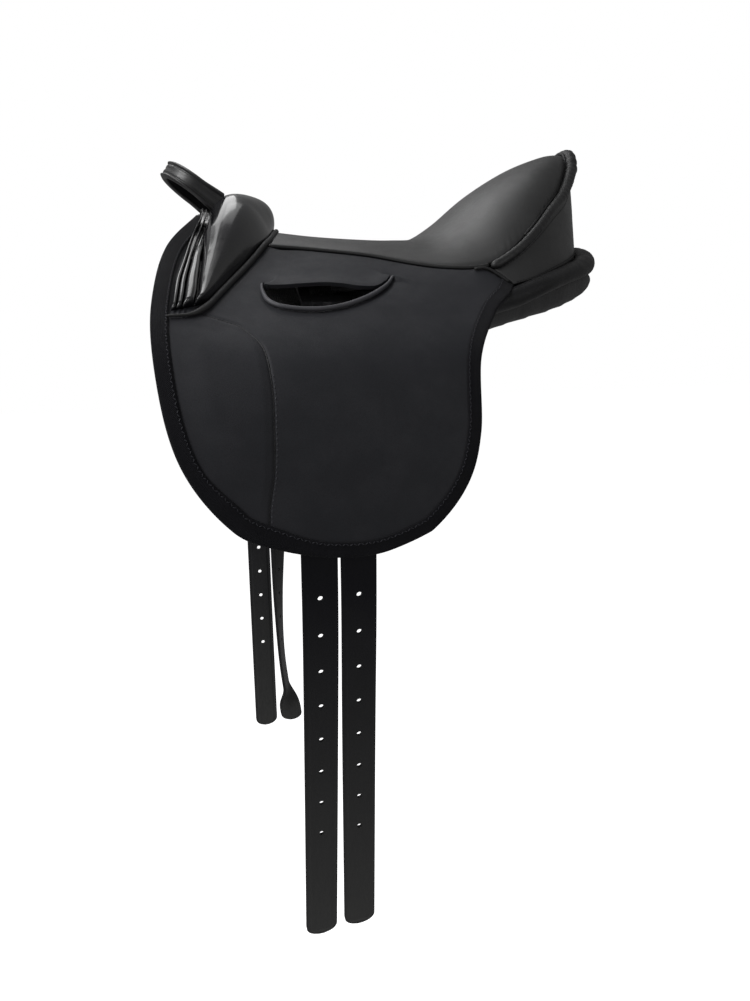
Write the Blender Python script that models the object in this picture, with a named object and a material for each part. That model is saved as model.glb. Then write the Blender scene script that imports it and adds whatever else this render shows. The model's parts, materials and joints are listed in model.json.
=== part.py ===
"""Child's lead line saddle, built piece by piece at real size.

Units are metres, +Z is up, +X points to the cantle (rear) and the near side is -Y.
The origin lies on the median plane between the panels, where a saddle rack carries the saddle.
Curves that are drawn by hand are listed in millimetres and turned into metres by mm().
"""

from math import cos, pi, radians, sin, sqrt

import bmesh
import bpy
from mathutils import Matrix, Vector

MM = 0.001
GAP = 0.3 * MM
NEAR = -1.0
FAR = 1.0
SIDES = {"near": NEAR, "far": FAR}

# Overall sizes: each one stretches every drawn point, in mm(), along one axis
BODY_LENGTH = 389 * MM
BODY_HALF_WIDTH = 200 * MM
BODY_HEIGHT = 291 * MM
DRAWN_LENGTH = 389 * MM
DRAWN_HALF_WIDTH = 200 * MM
DRAWN_HEIGHT = 291 * MM
# 0 at the drawn width; a narrower saddle has steeper layers, which take more height
STEEPER = max(0.0, DRAWN_HALF_WIDTH / BODY_HALF_WIDTH - 1)

# Leather, foam and steel thicknesses
COVER_THICKNESS = 2.0 * MM
GUSSET_THICKNESS = 2.0 * MM
FLAP_THICKNESS = 3.0 * MM
SEAT_FOAM_CORE = 16.6 * MM
TREE_THICKNESS = 7.5 * MM
GULLET_THICKNESS = 4.0 * MM
WEB_THICKNESS = 2.0 * MM
BAR_THICKNESS = 4.0 * MM
BAR_ROOM = 1.4 * MM
SEAT_FOAM_EDGE = SEAT_FOAM_CORE - BAR_THICKNESS - BAR_ROOM
BILLET_THICKNESS = 3.0 * MM

# Height that the tree's head, the webs and the panels give way by for each unit of STEEPER
HEAD_GIVE = 3.0 * MM
WEB_GIVE = 3.0 * MM
PANEL_GIVE = 6.0 * MM

# Piping, binding and rolls
WELT_RADIUS = 1.8 * MM
RIM_RADIUS = 4.0 * MM
PIPING_RADIUS = 1.5 * MM
LIP_RADIUS = 1.7 * MM
ROLL_RADIUS = 8.5 * MM
BINDING_WIDTH = 10.0 * MM
BINDING_THICKNESS = 1.3 * MM
BINDING_CLEARANCE = 0.75 * MM

# Billets
BILLET_WIDTH = 25.0 * MM
BILLET_HOLES = 8
BILLET_HOLE_PITCH = 28.2 * MM
BILLET_HOLE_RADIUS = 2.0 * MM
BILLET_FIRST_HOLE_Z = -205.0 * MM
BILLET_TAIL = {"front": 101.0 * MM, "rear": 99.5 * MM}
BILLET_TIP_RADIUS = 9.0 * MM
BILLET_SPACING = 2.0 * MM
# Drawn places, in millimetres: x of the front pair's middle, and (y, z) of the line they hang from
BILLET_FRONT = -85.0
BILLET_HINGE = (172.0, -57.3)
# How far a billet's middle drifts along x on its way down, and how it turns about its length
BILLET_DRIFT = {
    "near_front": (0.0, -4.5),
    "near_rear": (0.0, -1.2, 0.2),
    "far_front": (0.0, -8.0),
    "far_rear": (0.0, -1.0, -5.0, -8.6, -12.0, -11.5, -4.0),
}
BILLET_TWIST = {"far_rear": radians(72)}
BILLET_TWIST_FULL = 0.85
BILLET_CURL = (0.90, 0.98)

# Handle
HANDLE_WIDTH = 13.5 * MM
HANDLE_THICKNESS = 6.0 * MM
HANDLE_HALF_SPAN = 33.5 * MM
HANDLE_REACH = 31.0 * MM
HANDLE_PITCH = radians(36)
HANDLE_SETBACK = 3.5 * MM
HANDLE_RISE = 15.4 * MM

# Stirrup bars, inside the flaps
BAR_FRONT = -78.0
BAR_LENGTH = 54.0 * MM
BAR_ROD_LENGTH = 44.0 * MM
BAR_ARM_WIDTH = 8.0 * MM
BAR_BOTTOM_DROP = 1.8 * MM
CATCH_LENGTH = 14.0 * MM
CATCH_WIDTH = 4.0 * MM
CATCH_NOTCH = 6.0 * MM
CATCH_PIN_RADIUS = 1.0 * MM
CATCH_PIN_CLEARANCE = 0.08 * MM

# Where the flap folds when it is lifted, as a share of the way down its side
FLAP_FOLD = 0.52

# How full the seat's crown is, and how far the pommel cover rises over its base
SEAT_CROWN = 2.4
POMMEL_RISE_TOP = 21.0 * MM
POMMEL_RISE_FOOT = 6.0 * MM


def mm(x, y, z):
    """Turn a drawn point in millimetres into metres, stretched to the overall sizes."""
    return Vector((
        x * MM * BODY_LENGTH / DRAWN_LENGTH,
        y * MM * BODY_HALF_WIDTH / DRAWN_HALF_WIDTH,
        z * MM * BODY_HEIGHT / DRAWN_HEIGHT,
    ))


def hermite(a, b, c, d, f):
    """Smooth value between b and c, with a and d as the neighbours outside them."""
    return 0.5 * (2 * b + (c - a) * f + (2 * a - 5 * b + 4 * c - d) * f * f
                  + (3 * b - a - 3 * c + d) * f * f * f)


def through(points, place):
    """Point at place 0 to 1 of the smooth curve through points that are evenly spaced in place."""
    last = len(points) - 1
    at = min(max(place, 0.0), 1.0) * last
    i = min(int(at), last - 1)
    before = points[i - 1] if i > 0 else 2 * points[0] - points[1]
    after = points[i + 2] if i + 2 <= last else 2 * points[last] - points[last - 1]
    return hermite(before, points[i], points[i + 1], after, at - i)


def by_length(points):
    """Make a function from a share of the length, 0 to 1, to a point of the curve through points."""
    steps = 16 * (len(points) - 1)
    dense = [through(points, k / steps) for k in range(steps + 1)]
    run = [0.0]
    for a, b in zip(dense, dense[1:]):
        run.append(run[-1] + (b - a).length)

    def at(share):
        goal = min(max(share, 0.0), 1.0) * run[-1]
        low, high = 0, steps
        while high - low > 1:
            middle = (low + high) // 2
            if run[middle] <= goal:
                low = middle
            else:
                high = middle
        span = run[high] - run[low]
        return dense[low].lerp(dense[high], (goal - run[low]) / span if span else 0.0)

    return at


def smooth_step(x, low, high):
    """0 below low, 1 above high, and a smooth rise between them."""
    f = min(max((x - low) / (high - low), 0.0), 1.0)
    return f * f * (3 - 2 * f)


def normal_of(surface, u, v, step=0.004):
    """Unit normal of surface(u, v), by differences that stay inside 0 to 1."""
    u0, u1 = max(u - step, 0.0), min(u + step, 1.0)
    v0, v1 = max(v - step, 0.0), min(v + step, 1.0)
    across = surface(u1, v) - surface(u0, v)
    along = surface(u, v1) - surface(u, v0)
    return across.cross(along).normalized()


def material(name, colour, roughness, metallic=0.0):
    """Plain surface material."""
    made = bpy.data.materials.new(name)
    made.use_nodes = True
    shader = made.node_tree.nodes["Principled BSDF"]
    shader.inputs["Base Color"].default_value = (*colour, 1.0)
    shader.inputs["Roughness"].default_value = roughness
    shader.inputs["Metallic"].default_value = metallic
    return made


LOOKS = {
    "seat leather": ((0.040, 0.041, 0.043), 0.42, 0.0),
    "flap leather": ((0.032, 0.034, 0.037), 0.55, 0.0),
    "patent leather": ((0.012, 0.012, 0.013), 0.10, 0.0),
    "piping": ((0.010, 0.010, 0.011), 0.35, 0.0),
    "binding": ((0.010, 0.010, 0.013), 0.70, 0.0),
    "panel leather": ((0.045, 0.045, 0.047), 0.60, 0.0),
    "billet leather": ((0.012, 0.012, 0.015), 0.50, 0.0),
    "webbing": ((0.060, 0.060, 0.062), 0.85, 0.0),
    "foam": ((0.45, 0.43, 0.38), 0.95, 0.0),
    "tree resin": ((0.05, 0.05, 0.05), 0.50, 0.0),
    "steel": ((0.45, 0.45, 0.46), 0.35, 1.0),
}


def finish_object(name, mesh, look, smooth=35):
    """Link a mesh as a named object with its own material, shaded smooth up to an angle."""
    piece = bpy.data.objects.new(name, mesh)
    bpy.context.scene.collection.objects.link(piece)
    mesh.materials.append(material(name + " " + look, *LOOKS[look]))
    mesh.shade_smooth()
    mesh.set_sharp_from_angle(angle=radians(smooth))
    return piece


def set_origin(piece, origin):
    """Move a piece's origin onto its joint axis without moving its surface."""
    piece.data.transform(Matrix.Translation(-origin))
    piece.location = origin
    return piece


def closed_mesh(name, shape):
    """Turn a closed bmesh into a mesh whose faces all point outwards."""
    bmesh.ops.recalc_face_normals(shape, faces=shape.faces)
    if shape.calc_volume(signed=True) < 0:
        bmesh.ops.reverse_faces(shape, faces=shape.faces)
    mesh = bpy.data.meshes.new(name)
    shape.to_mesh(mesh)
    shape.free()
    return mesh


def even(count, low=0.0, high=1.0):
    """Evenly spaced stops from low to high."""
    return [low + (high - low) * k / count for k in range(count + 1)]


SEAT_ACROSS = even(14)
SEAT_ALONG = even(18)


def slab(name, surface, look, top, bottom, across, along, keep=None):
    """Closed sheet between two offsets of surface(u, v), both measured along its normal.

    across and along are the u and v stops, top and bottom are offsets or functions of (u, v),
    and keep says which (u, v) cells are there.
    """
    shape = bmesh.new()
    columns, rows = len(across) - 1, len(along) - 1
    bmesh.ops.create_grid(shape, x_segments=columns, y_segments=rows, size=0.5)
    places = {v: (across[round((v.co.x + 0.5) * columns)], along[round((v.co.y + 0.5) * rows)])
              for v in shape.verts}
    if keep:
        def middle(face):
            spots = [places[v] for v in face.verts]
            return sum(p[0] for p in spots) / 4, sum(p[1] for p in spots) / 4

        gone = [face for face in shape.faces if not keep(*middle(face))]
        bmesh.ops.delete(shape, geom=gone, context="FACES")
    upper_faces = list(shape.faces)
    border = [e for e in shape.edges if e.is_boundary]
    lower = {}
    for vert in list(shape.verts):
        u, v = places[vert]
        normal = normal_of(surface, u, v)
        point = surface(u, v)
        lower[vert] = shape.verts.new(point + normal * (bottom(u, v) if callable(bottom) else bottom))
        vert.co = point + normal * (top(u, v) if callable(top) else top)
    for face in upper_faces:
        first, *others = face.verts
        shape.faces.new([lower[first]] + [lower[v] for v in reversed(others)])
    for edge in border:
        a, b = edge.verts
        shape.faces.new((a, b, lower[b], lower[a]))
    bmesh.ops.triangulate(shape, faces=shape.faces, quad_method="FIXED")
    return finish_object(name, closed_mesh(name, shape), look)


def loft(name, rings, look, smooth=35):
    """Closed body through rings of points, with flat ends."""
    shape = bmesh.new()
    made = [[shape.verts.new(p) for p in ring] for ring in rings]
    for a, b in zip(made, made[1:]):
        for i in range(len(a)):
            j = (i + 1) % len(a)
            shape.faces.new((a[i], a[j], b[j], b[i]))
    shape.faces.new(list(reversed(made[0])))
    shape.faces.new(made[-1])
    return finish_object(name, closed_mesh(name, shape), look, smooth)


def tube(name, points, radius, look):
    """Round cord through points, with filled ends."""
    drawn = bpy.data.curves.new(name, "CURVE")
    drawn.dimensions = "3D"
    line = drawn.splines.new("POLY")
    line.points.add(len(points) - 1)
    for spot, point in zip(line.points, points):
        spot.co = (*point, 1.0)
    drawn.bevel_depth = radius
    drawn.bevel_resolution = 1
    drawn.use_fill_caps = True
    piece = bpy.data.objects.new(name, drawn)
    bpy.context.scene.collection.objects.link(piece)
    drawn.materials.append(material(name + " " + look, *LOOKS[look]))
    return piece


def rod_between(shape, start, end, radius, sides=16):
    """Add a round rod to a bmesh."""
    axis = end - start
    turn = Vector((0, 0, 1)).rotation_difference(axis).to_matrix().to_4x4()
    place = Matrix.Translation((start + end) / 2) @ turn
    bmesh.ops.create_cone(shape, cap_ends=True, segments=sides, radius1=radius,
                          radius2=radius, depth=axis.length, matrix=place)


def hidden_cutter(name, shape):
    """Turn a bmesh into a cutter object that is drawn as wire and left out of the model."""
    cutter = bpy.data.objects.new(name, closed_mesh(name, shape))
    cutter.hide_render = True
    cutter.display_type = "WIRE"
    bpy.context.scene.collection.objects.link(cutter)
    return cutter


def cut(piece, cutter):
    """Take the cutter's space out of a piece."""
    carve = piece.modifiers.new("Cut " + cutter.name, "BOOLEAN")
    carve.operation = "DIFFERENCE"
    carve.solver = "EXACT"
    carve.object = cutter


# Seat: a median curve and an edge curve, paired station by station from pommel to cantle top
SEAT_MEDIAN = [mm(*p) for p in (
    (-75.5, 0, 44), (-50, 0, 41.5), (-15, 0, 39.5), (15, 0, 39.5), (42, 0, 43.5), (68, 0, 58),
    (98, 0, 80), (130, 0, 98.5), (156, 0, 110), (172, 0, 115.5), (180, 0, 118))]
SEAT_EDGE = [mm(*p) for p in (
    (-88, 52, 34), (-56, 60, 29), (-18, 71, 25), (14, 85, 19), (40, 96, 16), (66, 101, 19),
    (88, 98, 33), (111, 87, 49), (134, 70, 69), (157, 50, 88), (175, 22, 107))]
RIM_START = 0.52
FOAM_TOP = -(COVER_THICKNESS + GAP)
SIDE_SHARE = 0.46


def seat_surface(u, s):
    """Top of the seat cover; u runs from the far edge to the near edge, s from front to rear."""
    t = 1 - 2 * u
    median = through(SEAT_MEDIAN, s)
    edge = through(SEAT_EDGE, s)
    a = abs(t)
    return Vector((
        median.x + (edge.x - median.x) * a ** 2,
        edge.y * t,
        median.z + (edge.z - median.z) * a ** SEAT_CROWN,
    ))


def seat_border(share):
    """Edge of the seat cover from the near front corner, round the cantle top, to the far front."""
    if share <= SIDE_SHARE:
        return seat_surface(1.0, share / SIDE_SHARE)
    if share >= 1 - SIDE_SHARE:
        return seat_surface(0.0, (1 - share) / SIDE_SHARE)
    return seat_surface(1 - (share - SIDE_SHARE) / (1 - 2 * SIDE_SHARE), 1.0)


def outward(line, share, step=0.004):
    """Level unit vector that points away from the seat, square to a line that rounds the cantle."""
    ahead = line(min(share + step, 1.0)) - line(max(share - step, 0.0))
    return Vector((ahead.y, -ahead.x, 0)).normalized()


def edge_line(share, out, down):
    """Point beside the seat's border, moved outwards and down."""
    return seat_border(share) + outward(seat_border, share) * out - Vector((0, 0, down))


def build_seat():
    """Seat cover, seat foam, the seat welts and the cantle's rim piping."""
    slab("seat_cover", seat_surface, "seat leather", 0.0, -COVER_THICKNESS, SEAT_ACROSS, SEAT_ALONG)

    def foam_bottom(u, s):
        core = smooth_step(abs(2 * u - 1), 0.30, 0.42)
        return FOAM_TOP - (SEAT_FOAM_CORE * (1 - core) + SEAT_FOAM_EDGE * core)

    slab("seat_foam", seat_surface, "foam", FOAM_TOP, foam_bottom, SEAT_ACROSS[1:-1],
         SEAT_ALONG[1:-1])

    for side, sign in SIDES.items():
        shares = even(16, 0.004, RIM_START * SIDE_SHARE - 0.006)
        line = [edge_line(s, WELT_RADIUS + GAP, COVER_THICKNESS / 2) for s in shares]
        line = [Vector((p.x, -sign * p.y, p.z)) for p in line]
        tube(side + "_seat_welt", line, WELT_RADIUS, "piping")

    start = RIM_START * SIDE_SHARE
    line = [edge_line(s, RIM_RADIUS + GAP, COVER_THICKNESS / 2) for s in even(40, start, 1 - start)]
    tube("cantle_rim_piping", line, RIM_RADIUS, "piping")


TREE_TOP = FOAM_TOP - SEAT_FOAM_CORE - GAP


def head_surface(u, v):
    """Top of the tree's arched head, from under the gullet plate back to the tree's front edge."""
    across = 0.5 + 0.56 * (u - 0.5)
    tree_front = seat_surface(across, SEAT_ALONG[1])
    tree_front += normal_of(seat_surface, across, SEAT_ALONG[1]) * TREE_TOP
    tree_front -= Vector((3 * GAP, 0, 0))
    below = FLAP_THICKNESS + GULLET_THICKNESS + 7 * GAP + HEAD_GIVE * STEEPER
    arch = gullet_surface(0.72 - 0.44 * u, 0.5) - Vector((0, 0, below))
    return arch.lerp(tree_front, v)


def build_tree():
    """Rigid tree under the seat, open in the middle, and its steel gullet plate."""
    def solid(u, s):
        t = abs(2 * u - 1)
        return not (t < 0.40 and 0.18 < s < 0.46)

    slab("tree", seat_surface, "tree resin", TREE_TOP, TREE_TOP - TREE_THICKNESS,
         SEAT_ACROSS[1:-1], SEAT_ALONG[1:-2], keep=solid)

    slab("tree_head", head_surface, "tree resin", 0.0, -TREE_THICKNESS, even(12), even(3))

    plate_top = -(FLAP_THICKNESS + GAP)
    slab("gullet_plate", gullet_surface, "steel", plate_top, plate_top - GULLET_THICKNESS,
         even(18), even(2))


# Flap: rows of points from the seat edge down to the foot, each row from front edge to rear edge
FLAP_TOP_FRONT = [mm(*p) for p in ((-143, 26, 55), (-118, 42, 42))]
FLAP_TOP_REAR = [mm(*p) for p in ((83, 116, 2),)]
FLAP_ROWS = [[mm(*p) for p in row] for row in (
    ((-168, 80, 29), (-142, 90, 13), (-110, 94, 9), (-74, 97, 9), (-36, 101, 8), (6, 110, 4),
     (48, 120, 0), (76, 125, -4)),
    ((-180, 136, -4), (-154, 141, -14), (-120, 138, -15), (-85, 136, -14), (-50, 135, -13),
     (-12, 136, -14), (25, 139, -16), (57, 142, -17)),
    ((-183, 171, -37), (-155, 176, -42), (-122, 178, -45), (-90, 178, -46), (-57, 177, -47),
     (-24, 175, -48), (6, 173, -48), (35, 170, -47)),
    ((-178, 189, -84), (-149.5, 191.5, -87), (-119.5, 193, -90), (-89, 193.5, -92),
     (-59, 193, -94), (-29, 191, -96), (1.5, 189, -97), (30, 186, -96)),
    ((-166, 195.5, -118), (-138, 197, -126), (-111, 198, -132), (-84, 198.5, -135.5),
     (-57.5, 198.5, -137), (-31, 197.5, -137), (-6, 195.5, -135), (18.5, 193, -131)),
    ((-140.7, 198.5, -149.6), (-124, 199.5, -159.5), (-106, 200, -166), (-87, 200.5, -170.6),
     (-66, 200.5, -173), (-46, 200, -172.3), (-27, 199, -167.5), (-8.6, 198, -160.4)),
)]


def flap_top_row():
    """Upper edge of the flap: under the pommel cover, then outside the seat welt."""
    beside = 2 * WELT_RADIUS + 4 * GAP
    under_seat = [edge_line(SIDE_SHARE * s, beside, 2.6 * MM) for s in even(10, 0.01, 0.5)]
    under_seat = [Vector((p.x, -p.y, p.z)) for p in under_seat]
    return FLAP_TOP_FRONT + under_seat + FLAP_TOP_REAR


FLAP_CURVES = [by_length(flap_top_row())] + [by_length(row) for row in FLAP_ROWS]


def flap_surface(u, v):
    """Outer face of the flap for y > 0; u runs from front to rear, v from the top to the foot."""
    return through([curve(u) for curve in FLAP_CURVES], v)


def flap_place(x, y=None, z=None):
    """Find (u, v) where the flap's face has the given x and the given y or z."""
    def miss(u, v):
        p = flap_surface(u, v)
        return (p.x - x, (p.y - y) if y is not None else (p.z - z))

    best = min(((sum(m * m for m in miss(i / 24, j / 24)), i / 24, j / 24)
                for i in range(25) for j in range(25)))
    u, v = best[1], best[2]
    step = 1e-4
    for _ in range(12):
        a, b = miss(u, v)
        au, bu = miss(u + step, v)
        av, bv = miss(u, v + step)
        j11, j12, j21, j22 = (au - a) / step, (av - a) / step, (bu - b) / step, (bv - b) / step
        det = j11 * j22 - j12 * j21
        if abs(det) < 1e-12:
            break
        u = min(max(u - (a * j22 - b * j12) / det, 0.0), 1.0 - step)
        v = min(max(v - (b * j11 - a * j21) / det, 0.0), 1.0 - step)
    return u, v


def flap_normal(u, v):
    """Unit normal of the flap's face that points away from the horse, for y > 0."""
    n = normal_of(flap_surface, u, v)
    return n if n.y > 0 else -n


def on_flap(x, lift=0.0, y=None, z=None, sign=FAR):
    """Point over the flap's face at x and y, or at x and z, on the side that sign gives."""
    u, v = flap_place(x, y, z)
    p = flap_surface(u, v) + flap_normal(u, v) * lift
    return Vector((p.x, sign * p.y, p.z))


def sided(surface, sign):
    """Surface of one side, with its normal kept pointing away from the horse."""
    if sign == NEAR:
        def near_side(u, v):
            p = surface(1 - u, v)
            return Vector((p.x, -p.y, p.z))
        return near_side
    return surface


def outer_sign(surface, sign):
    """+1 where the surface's own normal points away from the horse, else -1."""
    n = normal_of(surface, 0.5, 0.5)
    return 1.0 if n.y * sign > 0 or n.z > 0.5 else -1.0


# Stirrup slot: an opening that sags between two raised horns, drawn from above
SLOT_LOWER = by_length([mm(x, y, 0) for x, y in (
    (-107, 108), (-104, 119), (-97, 127), (-83, 135), (-59, 135.5), (-45, 132), (-30, 125),
    (-18, 115), (-11, 105.5))])
SLOT_UPPER = by_length([mm(x, y, 0) for x, y in (
    (-107, 108), (-103, 110.5), (-84, 108.5), (-66, 107.5), (-50, 109), (-38, 112),
    (-26, 113), (-18, 110.5), (-11, 105.5))])


def slot_cutter(side, sign):
    """Cutter for the stirrup slot that follows the flap's normals."""
    steps = 16
    shape = bmesh.new()
    layers = []
    for lift in (9 * MM, -9 * MM):
        lower = [shape.verts.new(on_flap(p.x, lift, y=p.y, sign=sign))
                 for p in map(SLOT_LOWER, even(steps))]
        upper = [shape.verts.new(on_flap(p.x, lift, y=p.y, sign=sign))
                 for p in map(SLOT_UPPER, even(steps)[1:-1])]
        upper = [lower[0]] + upper + [lower[-1]]
        layers.append((lower, upper))
        for k in range(steps):
            corners = dict.fromkeys((lower[k], lower[k + 1], upper[k + 1], upper[k]))
            shape.faces.new(list(corners))
    (lower_out, upper_out), (lower_in, upper_in) = layers
    for out, deep in ((lower_out, lower_in), (upper_out, upper_in)):
        for k in range(steps):
            shape.faces.new((out[k], out[k + 1], deep[k + 1], deep[k]))
    bmesh.ops.triangulate(shape, faces=shape.faces)
    return hidden_cutter(side + "_slot_cutter", shape)


def binding_ring(surface, u, v, inner_u, inner_v):
    """Section of the edge binding at one spot of the flap's border: a U round the edge."""
    edge = surface(u, v)
    inner = surface(inner_u, inner_v)
    normal = normal_of(surface, min(max(u, 0.02), 0.98), min(max(v, 0.02), 0.98))
    inward = (inner - edge)
    inward = (inward - normal * inward.dot(normal)).normalized()
    t = BINDING_THICKNESS
    face = BINDING_CLEARANCE
    back = -FLAP_THICKNESS - BINDING_CLEARANCE
    rim = -2 * GAP
    spots = (
        (BINDING_WIDTH, face), (BINDING_WIDTH, face + t), (rim - t / 2, face + t),
        (rim - t, (face + back) / 2), (rim - t / 2, back - t), (BINDING_WIDTH, back - t),
        (BINDING_WIDTH, back), (rim, back), (rim, face),
    )
    return [edge + inward * a + normal * b for a, b in spots]


def flap_border(place):
    """(u, v, inner u, inner v) round the flap's free edge, place 0 at the front top to 3."""
    shift = 0.08
    if place <= 1:
        return 0.0, place, shift, min(place, 1 - shift)
    if place <= 2:
        u = place - 1
        return u, 1.0, min(max(u, shift), 1 - shift), 1 - shift
    v = 3 - place
    return 1.0, v, 1 - shift, min(v, 1 - shift)


def build_flap(side, sign):
    """Upper and lower flap, the bound edge and the slot's raised lip, for one side."""
    surface = sided(flap_surface, sign)
    facing = outer_sign(surface, sign)

    def span(low, high):
        return lambda u, v: surface(u, low + (high - low) * v)

    split = 0.0016
    thick = -FLAP_THICKNESS * facing
    upper_rows, lower_rows, columns = 8, 7, 16
    upper = slab(side + "_flap_upper", span(0.0, FLAP_FOLD - split), "flap leather", 0.0, thick,
                 even(columns), even(upper_rows))
    cut(upper, slot_cutter(side, sign))
    lower = slab(side + "_flap", span(FLAP_FOLD + split, 1.0), "flap leather", 0.0, thick,
                 even(columns), even(lower_rows))
    hinge = flap_hinge(sign)
    set_origin(lower, hinge)

    lip = [on_flap(p.x, LIP_RADIUS + GAP, y=p.y + LIP_RADIUS, sign=sign)
           for p in map(SLOT_LOWER, even(16, 0.01, 0.99))]
    tube(side + "_slot_lip", lip, LIP_RADIUS, "piping")

    skirt = []
    for u in even(6, 0.905, 0.985):
        p = flap_surface(u, 0.022) + flap_normal(u, 0.022) * (PIPING_RADIUS + GAP)
        skirt.append(Vector((p.x, sign * p.y, p.z)))
    tube(side + "_skirt_piping", skirt, PIPING_RADIUS, "piping")

    down_upper = even(upper_rows, 0.0, FLAP_FOLD - split)
    down_lower = even(lower_rows, FLAP_FOLD + split, 1.0)
    foot = even(columns, 1.0, 2.0)
    pieces = {
        "_binding_front": (down_upper[1:], False),
        "_binding": (down_lower[:-1] + foot + [3 - v for v in reversed(down_lower[:-1])], True),
        "_binding_rear": ([3 - v for v in reversed(down_upper[1:])], False),
    }
    for ending, (places, moves) in pieces.items():
        rings = [binding_ring(flap_surface, *flap_border(place)) for place in places]
        rings = [[Vector((p.x, sign * p.y, p.z)) for p in ring] for ring in rings]
        piece = loft(side + "_flap" + ending, rings, "binding")
        if moves:
            set_origin(piece, hinge)


def flap_hinge(sign):
    """Point on the line that the flap folds about."""
    p = flap_surface(0.5, FLAP_FOLD)
    return Vector((p.x, sign * (p.y + 2 * MM), p.z))


# Pommel: two edge curves over the arch, from the near foot over the median to the far foot
POMMEL_REAR_HALF = [mm(*p) for p in (
    (-80, 0, 46), (-83, 24, 44.5), (-97, 49, 39), (-111, 73, 25), (-125, 97, 13),
    (-139, 117, 2), (-151, 135, -8), (-160, 148, -16))]
POMMEL_FRONT_HALF = [mm(*p) for p in (
    (-140, 0, 60), (-141, 22, 58.5), (-144, 44, 51), (-149, 66, 39), (-154, 88, 25),
    (-158, 109, 12), (-162, 128, 0), (-166, 146, -13))]


def both_sides(half):
    """Mirror a half curve that starts on the median plane into a near-to-far curve."""
    near = [Vector((p.x, -p.y, p.z)) for p in reversed(half[1:])]
    return near + half


POMMEL_REAR = by_length(both_sides(POMMEL_REAR_HALF))
POMMEL_FRONT = by_length(both_sides(POMMEL_FRONT_HALF))


def pommel_base(u, v):
    """Surface under the pommel cover; u runs from near foot to far foot, v from rear to front."""
    return POMMEL_REAR(u).lerp(POMMEL_FRONT(u), v)


def pommel_surface(u, v):
    """Outer face of the pommel cover: fullest towards its rear and over the median plane."""
    base = pommel_base(u, v)
    normal = normal_of(pommel_base, u, 0.5)
    normal = normal if normal.z > 0 else -normal
    foot = abs(2 * u - 1)
    rise = POMMEL_RISE_TOP + (POMMEL_RISE_FOOT - POMMEL_RISE_TOP) * smooth_step(foot, 0.15, 1.0)
    skewed = v ** 0.75
    swell = (1 - abs(2 * skewed - 1) ** 2.4) ** 0.6
    return base + normal * rise * swell


def gullet_surface(u, v):
    """Arch just under the flaps' top faces at the front, for the gullet plate."""
    place = 0.14 + 0.72 * u
    rear = POMMEL_REAR(place) + Vector((0.0, 0.0, -1.5 * MM))
    front = POMMEL_FRONT(place) + Vector((9.0 * MM, 0.0, -3.0 * MM))
    return rear.lerp(front, 0.12 + 0.80 * v) - Vector((0, 0, 7.4 * MM))


def build_pommel():
    """Pommel cover over its foam, with a piping along both edges."""
    facing = 1.0 if normal_of(pommel_base, 0.5, 0.5).z > 0 else -1.0
    slab("pommel_cover", pommel_surface, "patent leather", 0.0, -COVER_THICKNESS * facing,
         even(26), [0.0, 0.03, 0.12, 0.25, 0.42, 0.6, 0.78, 0.92, 1.0])

    foam_depth = COVER_THICKNESS + 3 * GAP

    def inside(u, v):
        return pommel_surface(0.04 + 0.92 * u, 0.06 + 0.88 * v)

    def fill(u, v):
        top = inside(u, v)
        base = pommel_base(0.04 + 0.92 * u, 0.06 + 0.88 * v)
        depth = max((top - base).length - foam_depth, 1.0 * MM)
        return -(foam_depth + depth * 0.92) * facing

    slab("pommel_foam", inside, "foam", -foam_depth * facing, fill, even(20), even(5))

    rear = []
    front = []
    lap = PIPING_RADIUS + GAP
    for u in even(36, 0.006, 0.994):
        normal = normal_of(pommel_base, u, 0.5)
        normal = normal if normal.z > 0 else -normal
        across = (POMMEL_REAR(u) - POMMEL_FRONT(u)).normalized()
        rear.append(POMMEL_REAR(u) + across * lap + normal * 0.8 * MM)
        front.append(POMMEL_FRONT(u) - across * lap + normal * 1.0 * MM)
    tube("pommel_rear_piping", rear, PIPING_RADIUS, "piping")
    tube("pommel_front_piping", front, PIPING_RADIUS, "patent leather")


# Base line of the cantle's back, from the near end round the rear to the median
GUSSET_BASE_HALF = [mm(*p) for p in (
    (86, 116, 3), (106, 105, 12), (129, 89, 20), (152, 71, 27), (172, 50, 32), (186, 26, 35),
    (191, 0, 36))]


def round_the_rear(half):
    """Mirror a half curve that ends on the median plane into a near-to-far curve."""
    near = [Vector((p.x, -p.y, p.z)) for p in half]
    return near + [p.copy() for p in reversed(half[:-1])]


GUSSET_BASE = by_length(round_the_rear(GUSSET_BASE_HALF))
ROLL_BASE = by_length(round_the_rear([mm(86, 110, -4)] + GUSSET_BASE_HALF[1:]))


def gusset_surface(u, v):
    """Back of the cantle; u runs from the near end to the far end, v from the rim down."""
    start = (RIM_START + 0.03) * SIDE_SHARE
    rim_share = start + (1 - 2 * start) * u
    top = edge_line(rim_share, RIM_RADIUS * 1.2, COVER_THICKNESS / 2 + RIM_RADIUS + 4 * GAP)
    base = GUSSET_BASE(u)
    away = outward(GUSSET_BASE, u)
    return top.lerp(base, v) + away * (3.0 * MM * 4 * v * (1 - v))


def roll_line(u, radius):
    """Centre of the roll round the foot of the cantle's back."""
    tilt = radians(40)
    away = outward(ROLL_BASE, u)
    reach = radius + 2 * GAP
    return ROLL_BASE(u) + away * reach * cos(tilt) - Vector((0, 0, reach * sin(tilt)))


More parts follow.
